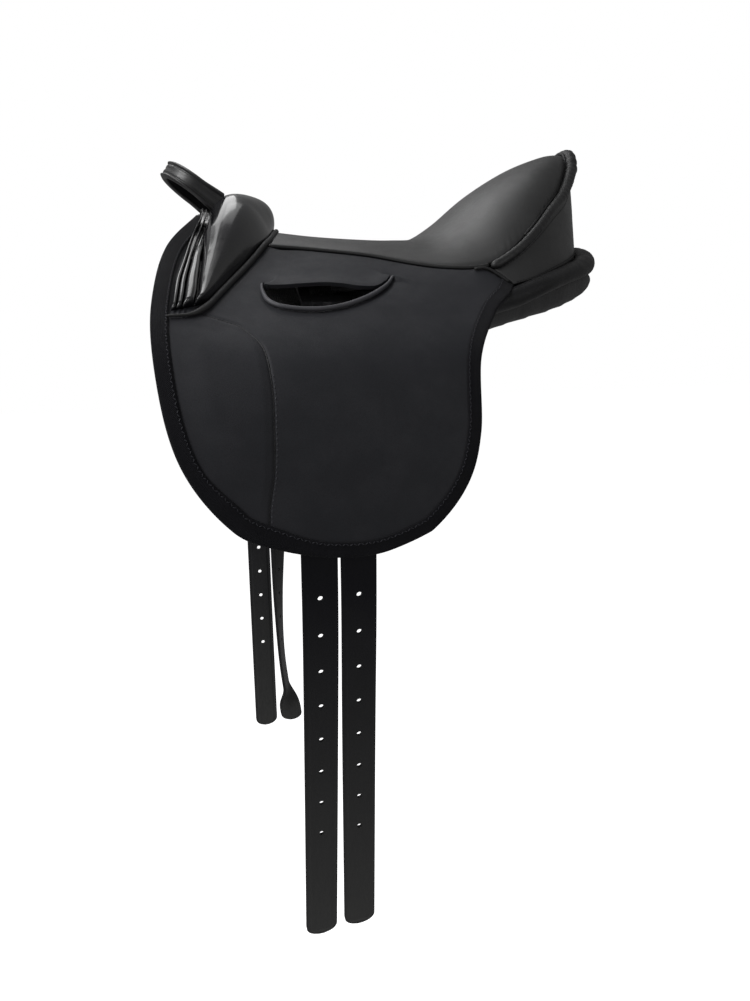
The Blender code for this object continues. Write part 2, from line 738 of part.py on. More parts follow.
def build_cantle():
    """Back of the cantle and the roll at its foot."""
    facing = 1.0 if normal_of(gusset_surface, 0.5, 0.5).x > 0 else -1.0
    slab("cantle_gusset", gusset_surface, "seat leather", 0.0, -GUSSET_THICKNESS * facing,
         even(24), even(4))
    rings = []
    for u in even(32, 0.01, 0.99):
        near_end = min(u, 1 - u)
        radius = ROLL_RADIUS * (0.5 + 0.5 * smooth_step(near_end, 0.0, 0.2))
        centre = roll_line(u, radius)
        away = outward(ROLL_BASE, u)
        rings.append([centre + away * radius * cos(a) + Vector((0, 0, radius * sin(a)))
                      for a in (2 * pi * i / 10 for i in range(10))])
    loft("cantle_roll", rings, "piping", 50)


# Panels: stations from front to rear with the inner and outer edge, the bow and half thickness
PANEL_STATIONS = (
    (-156, (60, -5), (134, -51), 6, 8),
    (-120, (38, -7), (146, -72), 8, 11),
    (-70, (29, -7), (151, -80), 10.3, 12),
    (-25, (28, -7), (149, -76), 10.3, 12),
    (20, (28, -6), (138, -56), 8, 12),
    (60, (27, -4), (120, -32), 6, 13),
    (100, (26, -2), (103, -21), 6, 14),
    (140, (25, 2.6), (86, -11.4), 5, 14.5),
    (175, (24, 6.7), (64, -1.3), 3, 14),
    (197, (27, 9.5), (48, 6.5), 1, 10),
)
PANEL_UNDER_WEBS = 20


def panel_point(x, y, z):
    """Turn a drawn point of the panel into metres, lowered under the webs where layers are steeper."""
    give = PANEL_GIVE * STEEPER if x <= PANEL_UNDER_WEBS else 0.0
    return mm(x, y, z) - Vector((0, 0, give))


PANEL_INNER = [panel_point(x, *inner) for x, inner, outer, bow, half in PANEL_STATIONS]
PANEL_OUTER = [panel_point(x, *outer) for x, inner, outer, bow, half in PANEL_STATIONS]
PANEL_BOW = [bow * MM for x, inner, outer, bow, half in PANEL_STATIONS]
PANEL_HALF = [half * MM for x, inner, outer, bow, half in PANEL_STATIONS]


def panel_middle(u, v):
    """Middle sheet of the panel for y > 0; u from the inner to the outer edge, v to the rear."""
    inner = through(PANEL_INNER, v)
    outer = through(PANEL_OUTER, v)
    chord = outer - inner
    up = Vector((0, -chord.z, chord.y)).normalized()
    return inner + chord * u + up * through(PANEL_BOW, v) * 4 * u * (1 - u)


def build_panel(side, sign):
    """Padded panel: a long cushion with a crown and drawn-in edges."""
    across, along = 10, 18
    upper, lower = {}, {}
    shape = bmesh.new()
    for j in range(along + 1):
        for i in range(across + 1):
            u = 0.5 - 0.5 * cos(pi * i / across)
            v = 0.5 - 0.5 * cos(pi * j / along)
            middle = panel_middle(u, v)
            edge_u = 1 - abs(2 * u - 1) ** 5
            edge_v = 1 - abs(2 * v - 1) ** 10
            half = through(PANEL_HALF, v) * sqrt(max(edge_u, 0)) * sqrt(max(edge_v, 0))
            inner, outer = through(PANEL_INNER, v), through(PANEL_OUTER, v)
            chord = outer - inner
            up = Vector((0, -chord.z, chord.y)).normalized()
            a = middle + up * half
            b = middle - up * half
            upper[i, j] = shape.verts.new((a.x, sign * a.y, a.z))
            on_border = i in (0, across) or j in (0, along)
            lower[i, j] = upper[i, j] if on_border else shape.verts.new((b.x, sign * b.y, b.z))
    for j in range(along):
        for i in range(across):
            for sheet in (upper, lower):
                corners = (sheet[i, j], sheet[i + 1, j], sheet[i + 1, j + 1], sheet[i, j + 1])
                if (i in (0, across - 1)) and (j in (0, along - 1)):
                    first = corners if (i == 0) == (j == 0) else corners[1:] + corners[:1]
                    shape.faces.new((first[0], first[1], first[2]))
                    shape.faces.new((first[0], first[2], first[3]))
                else:
                    shape.faces.new(corners)
    finish_object(side + "_panel", closed_mesh(side + "_panel", shape), "panel leather", 80)


# Billet webs run under the tree's rail and out to the billets; (y, z) in millimetres
WEB_START = {"front": ((28, 14), (40, 10.5)), "rear": ((28, 11.7), (40, 8.2))}
WEB_ROUTE = ((60, -2), (87, -13), (128, -30), (152, -41), (164, -47),
             (170.6, -52), (172, -57))
BILLET_ROUTE = {
    "near": ((172, -57.6), (181, -90), (187, -130), (190, -180), (191, -230), (189, -300),
             (185, -400), (180, -515)),
    "far": ((172, -57.6), (177, -90), (177, -130), (173, -180), (168, -230), (158, -300),
            (143, -400), (124, -515)),
}


def build_billet(side, sign, place):
    """One billet strap with its row of holes, and the web that carries it."""
    centre_x = mm(BILLET_FRONT, 0, 0).x
    if place == "rear":
        centre_x += BILLET_WIDTH + BILLET_SPACING
    half = BILLET_WIDTH / 2
    web = by_length([mm(0, y, z) for y, z in WEB_START[place] + WEB_ROUTE])

    def web_surface(u, v):
        p = web(v)
        height = p.z - WEB_GIVE * STEEPER * (1 - v)
        return Vector((centre_x + (u - 0.5) * (BILLET_WIDTH - 1 * MM), sign * p.y, height))

    slab(f"{side}_{place}_billet_web", web_surface, "webbing", 0.0,
         -WEB_THICKNESS * outer_sign(web_surface, sign), even(1), even(14))

    which = f"{side}_{place}"
    line = by_length([mm(0, y, z) for y, z in BILLET_ROUTE[side]])
    top, foot = line(0.0).z, line(1.0).z
    last_hole = BILLET_FIRST_HOLE_Z - (BILLET_HOLES - 1) * BILLET_HOLE_PITCH
    reach = (top - last_hole + BILLET_TAIL[place]) / (top - foot)
    drift = [d * MM for d in BILLET_DRIFT[which]]

    def billet_surface(u, v):
        p, ahead = line(v * reach), line(v * reach + 0.01) - line(v * reach - 0.01)
        square = Vector((0, -ahead.z, ahead.y)).normalized()
        turn = BILLET_TWIST.get(which, 0.0) * smooth_step(v, 0.0, BILLET_TWIST_FULL)
        turn *= 1 - smooth_step(v, *BILLET_CURL)
        from_tip = min((1 - v) * reach * (top - foot) / BILLET_TIP_RADIUS, 1.0)
        narrow = sqrt(max(1 - (1 - from_tip) ** 2, 0.16))
        sideways = Vector((cos(turn), 0, 0)) + square * sin(turn)
        p = p + Vector((centre_x + through(drift, v), 0, 0))
        p = p + sideways * (2 * u - 1) * half * narrow
        return Vector((p.x, sign * p.y, p.z))

    name = which + "_billet"
    down = even(16, 0.0, 0.97) + [0.98, 0.988, 0.995, 1.0]
    if which in BILLET_TWIST:
        down = even(16, 0.0, 0.88) + even(7, 0.88, 0.98)[1:] + [0.988, 0.995, 1.0]
    strap = slab(name, billet_surface, "billet leather", BILLET_THICKNESS / 2,
                 -BILLET_THICKNESS / 2, even(2), down)
    holes = bmesh.new()
    for k in range(BILLET_HOLES):
        z = BILLET_FIRST_HOLE_Z - k * BILLET_HOLE_PITCH
        low, high = 0.0, 1.0
        for _ in range(24):
            at = (low + high) / 2
            low, high = (at, high) if billet_surface(0.5, at).z > z else (low, at)
        spot, through_strap = billet_surface(0.5, at), normal_of(billet_surface, 0.5, at) * 6 * MM
        rod_between(holes, spot - through_strap, spot + through_strap, BILLET_HOLE_RADIUS, 8)
    hinge = mm(0, *BILLET_HINGE)
    cut(strap, hidden_cutter(name + "_holes", holes))
    set_origin(strap, Vector((centre_x, sign * hinge.y, hinge.z)))


# Stirrup bar: section line (y, z) in millimetres, from the tree's rail down to the rod
BAR_ROUTE = ((38, 20.2), (47, 17.1), (57, 12.5), (75, 3.6), (90, -4.3), (104, -12.0))


def build_stirrup_bar(side, sign):
    """Steel bar that is open to the rear, its thumb catch and the catch's pin."""
    route = by_length([mm(0, y, z) for y, z in BAR_ROUTE])
    front_x = mm(BAR_FRONT, 0, 0).x

    def bar_surface(u, v):
        p = route(v)
        return Vector((front_x + BAR_LENGTH * u, sign * p.y, p.z))

    plate_end, rod_start = 0.38, 0.86
    arm, rod_end = BAR_ARM_WIDTH / BAR_LENGTH, BAR_ROD_LENGTH / BAR_LENGTH

    def solid(u, v):
        if v < plate_end:
            return True
        return u < (rod_end if v > rod_start else arm)

    facing = outer_sign(bar_surface, sign)
    bar = slab(side + "_stirrup_bar", bar_surface, "steel",
               (BAR_THICKNESS - BAR_BOTTOM_DROP) * facing, -BAR_BOTTOM_DROP * facing,
               [0.0, arm, 0.5, rod_end, 1.0],
               [0.0, 0.19, plate_end, 0.62, rod_start, 1.0], keep=solid)

    inner, outer = bar_surface(rod_end, rod_start), bar_surface(rod_end, 1.0)
    slope = (outer - inner).normalized()
    width = (outer - inner).length
    lift = Vector((0, -slope.z * sign, slope.y * sign))
    pin_centre = (inner + outer) / 2 - Vector((CATCH_NOTCH / 2, 0, 0))
    pin_centre += lift * (BAR_THICKNESS / 2 - BAR_BOTTOM_DROP)
    place = Matrix.Translation(pin_centre) @ Matrix((
        (1, slope.x, lift.x, 0), (0, slope.y, lift.y, 0), (0, slope.z, lift.z, 0), (0, 0, 0, 1)))

    notch = bmesh.new()
    bmesh.ops.create_cube(notch, size=1.0, matrix=place @ Matrix.Diagonal(
        (CATCH_NOTCH + 2 * MM, CATCH_WIDTH + 2 * GAP, 3 * BAR_THICKNESS, 1)) @ Matrix.Translation(
        (0.12, 0, 0)))
    cut(bar, hidden_cutter(side + "_notch_cutter", notch))
    bore = bmesh.new()
    rod_between(bore, pin_centre - slope * width, pin_centre + slope * width,
                CATCH_PIN_RADIUS + CATCH_PIN_CLEARANCE)
    bore_cutter = hidden_cutter(side + "_bore_cutter", bore)
    cut(bar, bore_cutter)

    pin = bmesh.new()
    rod_between(pin, pin_centre - slope * (width / 2 - GAP), pin_centre + slope * (width / 2 - GAP),
                CATCH_PIN_RADIUS)
    finish_object(side + "_catch_pin", closed_mesh(side + "_catch_pin", pin), "steel", 40)

    radius = BAR_THICKNESS / 2 - 0.1 * MM
    profile = [(-radius * sin(a), radius * cos(a)) for a in even(6, 0.0, pi)]
    profile += [(CATCH_LENGTH, -radius * 0.6), (CATCH_LENGTH + 1 * MM, 0.0),
                (CATCH_LENGTH, radius * 0.6)]
    rings = [[place @ Vector((x, q, n)) for x, n in profile]
             for q in (-CATCH_WIDTH / 2, CATCH_WIDTH / 2)]
    catch = loft(side + "_bar_catch", rings, "steel", 40)
    cut(catch, bore_cutter)
    set_origin(catch, pin_centre)


def build_handle():
    """Padded grab strap that stands up from the pommel's front."""
    root = next(p for p in map(POMMEL_FRONT, even(4000, 0.5, 1.0)) if p.y >= HANDLE_HALF_SPAN)
    axis = Vector((root.x + HANDLE_SETBACK, 0, root.z + HANDLE_RISE))
    reach = Vector((-cos(HANDLE_PITCH), 0, sin(HANDLE_PITCH)))
    edge = Vector((sin(HANDLE_PITCH), 0, cos(HANDLE_PITCH)))
    half = HANDLE_WIDTH / 2
    bend = HANDLE_HALF_SPAN
    path = []
    straight = HANDLE_REACH - bend * 0.72
    round_end = even(3, -half * 0.94, 0.0)[:-1]
    path += [(-bend, r) for r in round_end] + [(-bend, r) for r in even(2, 0.0, straight)[:-1]]
    path += [(-bend * cos(a), straight + bend * 0.72 * sin(a)) for a in even(16, 0.0, pi)]
    path += [(bend, r) for r in reversed(even(2, 0.0, straight)[:-1])]
    path += [(bend, r) for r in reversed(round_end)]
    rings = []
    for i, (y, r) in enumerate(path):
        y0, r0 = path[max(i - 1, 0)]
        y1, r1 = path[min(i + 1, len(path) - 1)]
        ahead = Vector((0, y1 - y0, 0)) + reach * (r1 - r0)
        outer = ahead.cross(edge).normalized()
        if outer.dot(Vector((0, y, 0)) + reach * (r - straight)) < 0:
            outer = -outer
        centre = axis + Vector((0, y, 0)) + reach * r
        ring = []
        breadth = sqrt(max(half ** 2 - min(r, 0.0) ** 2, 0.0))
        for a in even(10, 0.0, 2 * pi)[:-1]:
            wide = breadth * (1 if cos(a) > 0 else -1) * abs(cos(a)) ** 0.5
            thick = HANDLE_THICKNESS / 2 * (1 if sin(a) > 0 else -1) * abs(sin(a)) ** 0.7
            ring.append(centre + edge * wide + outer * thick)
        rings.append(ring)
    strap = loft("handle_strap", rings, "patent leather", 60)
    set_origin(strap, axis)


def main():
    """Clear the scene and build every piece."""
    for piece in list(bpy.data.objects):
        bpy.data.objects.remove(piece, do_unlink=True)
    build_seat()
    build_tree()
    build_pommel()
    build_cantle()
    for side, sign in SIDES.items():
        build_flap(side, sign)
        build_panel(side, sign)
        build_stirrup_bar(side, sign)
        for place in ("front", "rear"):
            build_billet(side, sign, place)
    build_handle()


main()
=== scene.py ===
"""Looks of a child's lead line saddle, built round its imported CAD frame.

Units are metres, +Z is up, +X points to the cantle and the near side is -Y. Drawn points are in
millimetres and go through mm(). A surface is a function of two arrays, u and v from 0 to 1, that
gives one point for each pair.
"""

import json
import logging
from dataclasses import dataclass
from enum import Enum
from math import cos, pi, radians, sin
from typing import Callable, Sequence

import bmesh
import bpy
import numpy as np
from mathutils import Matrix, Vector

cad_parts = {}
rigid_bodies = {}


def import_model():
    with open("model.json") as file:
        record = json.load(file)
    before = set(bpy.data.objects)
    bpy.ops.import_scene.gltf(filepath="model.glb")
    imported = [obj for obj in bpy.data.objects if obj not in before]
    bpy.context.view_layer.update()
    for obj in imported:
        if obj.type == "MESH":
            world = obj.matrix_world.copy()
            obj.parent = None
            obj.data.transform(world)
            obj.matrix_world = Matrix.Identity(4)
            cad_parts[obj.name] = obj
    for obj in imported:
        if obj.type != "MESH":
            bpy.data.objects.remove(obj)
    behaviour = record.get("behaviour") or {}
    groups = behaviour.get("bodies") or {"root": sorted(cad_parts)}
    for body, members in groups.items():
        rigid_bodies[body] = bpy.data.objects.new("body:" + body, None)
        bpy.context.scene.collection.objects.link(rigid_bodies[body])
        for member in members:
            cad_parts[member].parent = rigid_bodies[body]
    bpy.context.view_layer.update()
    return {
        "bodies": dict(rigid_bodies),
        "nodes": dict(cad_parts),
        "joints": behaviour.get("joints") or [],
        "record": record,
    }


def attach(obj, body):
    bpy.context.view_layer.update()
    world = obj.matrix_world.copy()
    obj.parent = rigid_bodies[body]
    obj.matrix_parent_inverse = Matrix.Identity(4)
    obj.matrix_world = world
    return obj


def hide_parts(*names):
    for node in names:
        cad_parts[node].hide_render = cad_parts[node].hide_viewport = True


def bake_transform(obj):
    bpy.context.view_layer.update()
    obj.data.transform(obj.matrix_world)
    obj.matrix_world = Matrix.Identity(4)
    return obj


LOG = logging.getLogger("saddle")
MM = 0.001
GAP = 0.3 * MM
UP = (0.0, 0.0, 1.0)

Array = np.ndarray
Surface = Callable[[Array, Array], Array]
Piece = bpy.types.Object
Socket = bpy.types.NodeSocket
Colour = tuple[float, float, float]


class Side(Enum):
    """The two sides of the saddle, as a rider names them."""

    NEAR = "near"
    FAR = "far"

    @property
    def sign(self) -> float:
        """Sign of y on this side."""
        return -1.0 if self is Side.NEAR else 1.0

    def mirror(self, points: Array) -> Array:
        """Put points that were drawn for y > 0 on this side."""
        return points * np.array((1.0, self.sign, 1.0))


# ---- curves and surfaces ----


def mm(*points: Sequence[float]) -> Array:
    """Turn drawn millimetres into metres."""
    return np.array(points, float) * MM


def stops(count: int, low: float = 0.0, high: float = 1.0) -> Array:
    """Evenly spaced values from low to high."""
    return np.linspace(low, high, count + 1)


def eased(count: int) -> Array:
    """Values from 0 to 1 that lie closer together near both ends."""
    return 0.5 - 0.5 * np.cos(pi * stops(count))


def round_end(count: int) -> Array:
    """Angles of a quarter turn, for closing a shape with a round end."""
    return np.linspace(0, pi / 2, count)


def round_turn(count: int) -> Array:
    """Angles of a whole turn, without its end."""
    return 2 * pi * np.arange(count) / count


def from_ends(share: Array) -> Array:
    """How far a share lies from the nearer of 0 and 1."""
    return np.minimum(share, 1 - share)


def smooth_step(x: Array | float, low: float, high: float) -> Array:
    """0 below low, 1 above high, and a smooth rise between them."""
    f = np.clip((np.asarray(x, float) - low) / (high - low), 0.0, 1.0)
    return f * f * (3 - 2 * f)


def unit(vectors: Array) -> Array:
    """Vectors of length one."""
    return vectors / np.maximum(np.linalg.norm(vectors, axis=-1, keepdims=True), 1e-12)


def turned(vectors: Array, away: Array | Sequence[float]) -> Array:
    """Vectors turned round where they don't look along away."""
    return vectors * np.where((vectors * away).sum(1, keepdims=True) > 0, 1.0, -1.0)


def run_of(points: Array) -> Array:
    """Length of a line of points up to each of them."""
    return np.concatenate([[0.0], np.cumsum(np.linalg.norm(np.diff(points, axis=0), axis=1))])


def weave_rows(rows: Array, place: Array, curl: tuple[float, float] = (0.0, 0.0)) -> Array:
    """Read a smooth curve through rows of points.

    Args:
        rows: array (rows, n, 3), or (rows, 3) for one curve.
        place: where to read, 0 to 1, with the rows evenly spaced.
        curl: how far the bend goes on at the start and at the end, 0 for straight ends.

    Returns:
        Array (n, 3).
    """
    if rows.ndim == 2:
        rows = np.repeat(rows[:, None, :], len(place), axis=1)
    last = len(rows) - 1
    at = np.clip(place, 0.0, 1.0) * last
    i = np.minimum(at.astype(int), last - 1)
    f = (at - i)[:, None]
    far = min(2, last)
    bend = rows[0] - 2 * rows[1] + rows[far], rows[-1] - 2 * rows[-2] + rows[-1 - far]
    more = np.concatenate([[2 * rows[0] - rows[1] + curl[0] * bend[0]], rows,
                           [2 * rows[-1] - rows[-2] + curl[1] * bend[1]]])
    n = np.arange(len(place))
    a, b, c, d = more[i, n], more[i + 1, n], more[i + 2, n], more[i + 3, n]
    return 0.5 * (2 * b + (c - a) * f + (2 * a - 5 * b + 4 * c - d) * f * f
                  + (3 * b - a - 3 * c + d) * f ** 3)


class Line:
    """Smooth curve through points, read by share of its length."""

    def __init__(self, points: Array, fine: int = 24,
                 curl: tuple[float, float] = (0.0, 0.0)) -> None:
        """Measure the curve.

        Args:
            points: the points it goes through.
            fine: steps between two points for measuring its length.
            curl: how far the bend goes on at its two ends.
        """
        self.points = np.asarray(points, float)
        self.curl = curl
        self.places = stops(fine * (len(self.points) - 1))
        run = run_of(weave_rows(self.points, self.places, curl))
        self.length = float(run[-1])
        self.run = run / run[-1]

    def at(self, share: Array) -> Array:
        """Points at shares of the length."""
        place = np.interp(np.atleast_1d(share), self.run, self.places)
        return weave_rows(self.points, place, self.curl)


def normals_of(surface: Surface, u: Array, v: Array, step: float = 0.003) -> Array:
    """Unit normals of a surface, by differences that stay inside 0 to 1.

    Args:
        surface: the surface.
        u: places across.
        v: places along.
        step: half the distance of the differences.

    Returns:
        Array (n, 3).
    """
    u0, u1 = np.maximum(u - step, 0.0), np.minimum(u + step, 1.0)
    v0, v1 = np.maximum(v - step, 0.0), np.minimum(v + step, 1.0)
    return unit(np.cross(surface(u1, v) - surface(u0, v), surface(u, v1) - surface(u, v0)))


def locate(surface: Surface, targets: Array) -> tuple[Array, Array]:
    """Find the places on a surface that lie nearest to target points.

    Args:
        surface: the surface.
        targets: array (n, 3).

    Returns:
        Arrays u and v.
    """
    grid_u, grid_v = (a.ravel() for a in np.meshgrid(stops(40), stops(40)))
    cloud = surface(grid_u, grid_v)
    nearest = ((targets[:, None, :] - cloud[None]) ** 2).sum(-1).argmin(1)
    u, v = grid_u[nearest].copy(), grid_v[nearest].copy()
    step = 1e-4
    for _ in range(12):
        u1, v1 = np.minimum(u + step, 1), np.minimum(v + step, 1)
        du = (surface(u1, v) - surface(u1 - step, v)) / step
        dv = (surface(u, v1) - surface(u, v1 - step)) / step
        miss = targets - surface(u, v)
        a, b, c = (du * du).sum(1), (du * dv).sum(1), (dv * dv).sum(1)
        p, q = (du * miss).sum(1), (dv * miss).sum(1)
        det = np.maximum(a * c - b * b, 1e-18)
        u = np.clip(u + (p * c - q * b) / det, 0, 1)
        v = np.clip(v + (a * q - b * p) / det, 0, 1)
    return u, v


def distance_to(points: Array, line: Array) -> Array:
    """Distance from each point to the nearest point of a densely sampled line.

    Args:
        points: array (n, 3).
        line: the line's points, (m, 3).

    Returns:
        Array (n,).
    """
    best = np.full(len(points), 1e9)
    for chunk in np.array_split(line, max(1, len(line) // 64)):
        near = np.sqrt(((points[:, None, :] - chunk[None]) ** 2).sum(-1)).min(1)
        best = np.minimum(best, near)
    return best


# ---- making pieces ----


def face_out(shape: bmesh.types.BMesh) -> None:
    """Turn the faces of a closed shape outwards.

    Args:
        shape: the closed shape.
    """
    bmesh.ops.recalc_face_normals(shape, faces=shape.faces)
    if shape.calc_volume(signed=True) < 0:
        bmesh.ops.reverse_faces(shape, faces=shape.faces)


@dataclass
class Grid:
    """A sheet of faces laid over a surface, while it is still being made."""

    shape: bmesh.types.BMesh
    u: Array
    v: Array

    @classmethod
    def laid(cls, surface: Surface, across: Array, along: Array,
             size: tuple[float, float] = (1.0, 1.0)) -> "Grid":
        """Lay a grid over a surface.

        Args:
            surface: where each (u, v) goes.
            across: u of each column.
            along: v of each row.
            size: the sheet's real width and length, for its UV map.

        Returns:
            The grid, with its UV map in metres.
        """
        shape = bmesh.new()
        columns, rows = len(across) - 1, len(along) - 1
        bmesh.ops.create_grid(shape, x_segments=columns, y_segments=rows, size=0.5)
        shape.verts.index_update()
        flat = np.array([v.co[:2] for v in shape.verts]) + 0.5
        u = across[np.rint(flat[:, 0] * columns).astype(int)]
        v = along[np.rint(flat[:, 1] * rows).astype(int)]
        for vert, spot in zip(shape.verts, surface(u, v)):
            vert.co = spot
        layer = shape.loops.layers.uv.new("UVMap")
        width, length = size
        spots = [Vector((float(a) * width, float(b) * length)) for a, b in zip(u, v)]
        for face in shape.faces:
            for loop in face.loops:
                loop[layer].uv = spots[loop.vert.index]
        return cls(shape, u, v)

    def write(self, name: str, values: Array) -> None:
        """Keep one number for each point, as an attribute that a finish can read.

        Args:
            name: the attribute's name.
            values: one number for each point.
        """
        layer = self.shape.verts.layers.float.new(name)
        for vert, value in zip(self.shape.verts, values):
            vert[layer] = float(value)

    def face_towards(self, away: Sequence[float]) -> None:
        """Turn the sheet over if its faces on the whole don't look along away.

        Args:
            away: the direction that its outer face looks in.
        """
        self.shape.faces.ensure_lookup_table()
        self.shape.normal_update()
        total = sum((f.normal * f.calc_area() for f in self.shape.faces), Vector())
        if total.dot(Vector(away)) < 0:
            bmesh.ops.reverse_faces(self.shape, faces=self.shape.faces)

    def close(self) -> None:
        """Join the seam and poles of a grid that goes round, fill its ends and face it out."""
        bmesh.ops.remove_doubles(self.shape, verts=self.shape.verts, dist=1e-7)
        open_edges = [e for e in self.shape.edges if e.is_boundary]
        if open_edges:
            bmesh.ops.holes_fill(self.shape, edges=open_edges)
        face_out(self.shape)

    def piece(self, name: str) -> Piece:
        """Turn the grid into a named object."""
        return as_piece(name, self.shape)


def as_piece(name: str, shape: bmesh.types.BMesh) -> Piece:
    """Turn a bmesh into a smooth shaded object of the scene.

    Args:
        name: the piece's name.
        shape: its shape, which is freed.

    Returns:
        The piece.
    """
    mesh = bpy.data.meshes.new(name)
    shape.to_mesh(mesh)
    shape.free()
    mesh.shade_smooth()
    piece = bpy.data.objects.new(name, mesh)
    bpy.context.scene.collection.objects.link(piece)
    return piece


def settle(piece: Piece, crease: float = 60.0) -> Piece:
    """Apply a piece's modifiers and shade it smooth up to an angle in degrees.

    Args:
        piece: the piece.
        crease: the angle from which an edge is sharp.

    Returns:
        The piece.
    """
    shaped = piece.evaluated_get(bpy.context.evaluated_depsgraph_get())
    mesh = bpy.data.meshes.new_from_object(shaped)
    piece.modifiers.clear()
    piece.data = mesh
    mesh.name = piece.name
    mesh.shade_smooth()
    mesh.set_sharp_from_angle(angle=radians(crease))
    return piece


def thicken(piece: Piece, thickness: float, round_edge: float = 0.0, segments: int = 2) -> Piece:
    """Give a sheet its thickness on its inner side and round its edges.

    Args:
        piece: the sheet.
        thickness: in metres.
        round_edge: width of the rounding.
        segments: steps of the rounding.

    Returns:
        The piece, with its modifiers applied.
    """
    wall = piece.modifiers.new("Wall", "SOLIDIFY")
    wall.thickness = thickness
    wall.offset = -1.0
    wall.use_even_offset = True
    wall.use_quality_normals = True
    if round_edge > 0:
        worn = piece.modifiers.new("Rounded edge", "BEVEL")
        worn.width = round_edge
        worn.segments = segments
        worn.limit_method = "ANGLE"
        worn.angle_limit = radians(50)
    settle(piece)
    shape = bmesh.new()
    shape.from_mesh(piece.data)
    face_out(shape)
    shape.to_mesh(piece.data)
    shape.free()
    return piece


def carve(piece: Piece, cutter: Piece, crease: float) -> None:
    """Cut a closed shape out of a piece and remove it.

    Args:
        piece: the piece that is cut.
        cutter: the closed shape.
        crease: angle in degrees up to which the piece stays smooth.
    """
    cut = piece.modifiers.new("Cut", "BOOLEAN")
    cut.operation, cut.solver, cut.object = "DIFFERENCE", "MANIFOLD", cutter
    settle(piece, crease)
    bpy.data.objects.remove(cutter)


def ring_tube(name: str, rings: Array, size: tuple[float, float]) -> Piece:
    """Close rings of points into one body.

    Args:
        name: the piece's name.
        rings: array (rows, around, 3).
        size: the real way round and length, for the UV map.

    Returns:
        The piece.
    """
    rows, around = rings.shape[:2]
    looped = np.concatenate([rings, rings[:, :1]], axis=1)

    def surface(u: Array, v: Array) -> Array:
        """The ring point that a place stands for."""
        return looped[np.rint(v * (rows - 1)).astype(int), np.rint(u * around).astype(int)]

    grid = Grid.laid(surface, stops(around), stops(rows - 1), size)
    grid.close()
    return grid.piece(name)


def rings_round(centre: Array, side: Array, across: Array, top: Array, tall: Array) -> Array:
    """Rings of points round a line.

    Args:
        centre: points of the line, (rows, 3).
        side: level directions of the sections, (rows, 3) or one for all.
        across: how far each point goes along side, (rows, around).
        top: upright directions of the sections, (rows, 3) or one for all.
        tall: how far each point goes along top, (rows, around).

    Returns:
        Array (rows, around, 3).
    """
    side, top = (np.broadcast_to(way, centre.shape)[:, None] for way in (side, top))
    return centre[:, None] + side * across[..., None] + top * tall[..., None]


def rounded_shares(length: float, radius: float, step: float) -> tuple[Array, Array]:
    """Shares along a line and how full a section is at each, closing to round ends.

    Args:
        length: the line's length.
        radius: the section's radius.
        step: distance between sections in the middle.

    Returns:
        Arrays of shares and of fullness, 0 at both tips.
    """
    cap = 1 - np.cos(round_end(6))
    middle = np.arange(radius + step, length - radius - step / 2, step)
    run = np.concatenate([cap * radius, middle, length - cap[::-1] * radius])
    from_end = np.clip(np.minimum(run, length - run) / radius, 0, 1)
    return run / length, np.sqrt(np.clip(1 - (1 - from_end) ** 2, 0, 1))


def piping(name: str, line: Line, radius: float, up: Sequence[float] = UP, around: int = 14,
           step: float = 2 * MM,
           fatness: Callable[[Array], Array] | None = None) -> Piece:
    """Covered cord along a line, with round ends.

    Args:
        name: the piece's name.
        line: its centre line.
        radius: its radius.
        up: direction that its sections stand up in.
        around: points round the section.
        step: distance between sections.
        fatness: factor of the radius by share.

    Returns:
        The piece.
    """
    share, full = rounded_shares(line.length, radius, step)
    points = line.at(share)
    ahead = unit(np.gradient(points, axis=0))
    side = unit(np.cross(ahead, np.broadcast_to(up, points.shape)))
    reach = (radius * full * (fatness(share) if fatness else 1.0))[:, None]
    turn = round_turn(around)
    rings = rings_round(points, side, np.cos(turn) * reach, np.cross(side, ahead),
                        np.sin(turn) * reach)
    return ring_tube(name, rings, (2 * pi * radius, line.length))


@dataclass(frozen=True)
class Seam:
    """How a seam is sewn: from stitch to stitch, a stitch's length, its thread and its zigzag."""

    pitch: float
    length: float
    thread: float
    slant: float = 0.0


def stitches(name: str, points: Array, normals: Array, seam: Seam) -> Piece:
    """Row of separate stitches along a line on a surface.

    Args:
        name: the piece's name.
        points: dense points of the seam.
        normals: the surface's normals there.
        seam: how it is sewn.

    Returns:
        One piece that holds every stitch.
    """
    run = run_of(points)
    shape = bmesh.new()
    for count, at in enumerate(np.arange(seam.pitch / 2, run[-1], seam.pitch)):
        here, ahead, out = (
            Vector([float(np.interp(at + d, run, column[:, k])) for k in range(3)])
            for column, d in ((points, 0.0), (points, seam.length / 2), (normals, 0.0)))
        along = (ahead - here).normalized()
        out = (out - along * out.dot(along)).normalized()
        along = Matrix.Rotation(seam.slant * (-1) ** count, 3, out) @ along
        side = along.cross(out)
        scale = Matrix([(side[k] * seam.thread, out[k] * seam.thread * 0.7,
                         along[k] * seam.length, 0) for k in range(3)] + [(0, 0, 0, 1)])
        bmesh.ops.create_uvsphere(shape, u_segments=6, v_segments=4, radius=0.5,
                                  matrix=Matrix.Translation(here) @ scale)
    bmesh.ops.recalc_face_normals(shape, faces=shape.faces)
    return as_piece(name, shape)


# ---- finishes ----


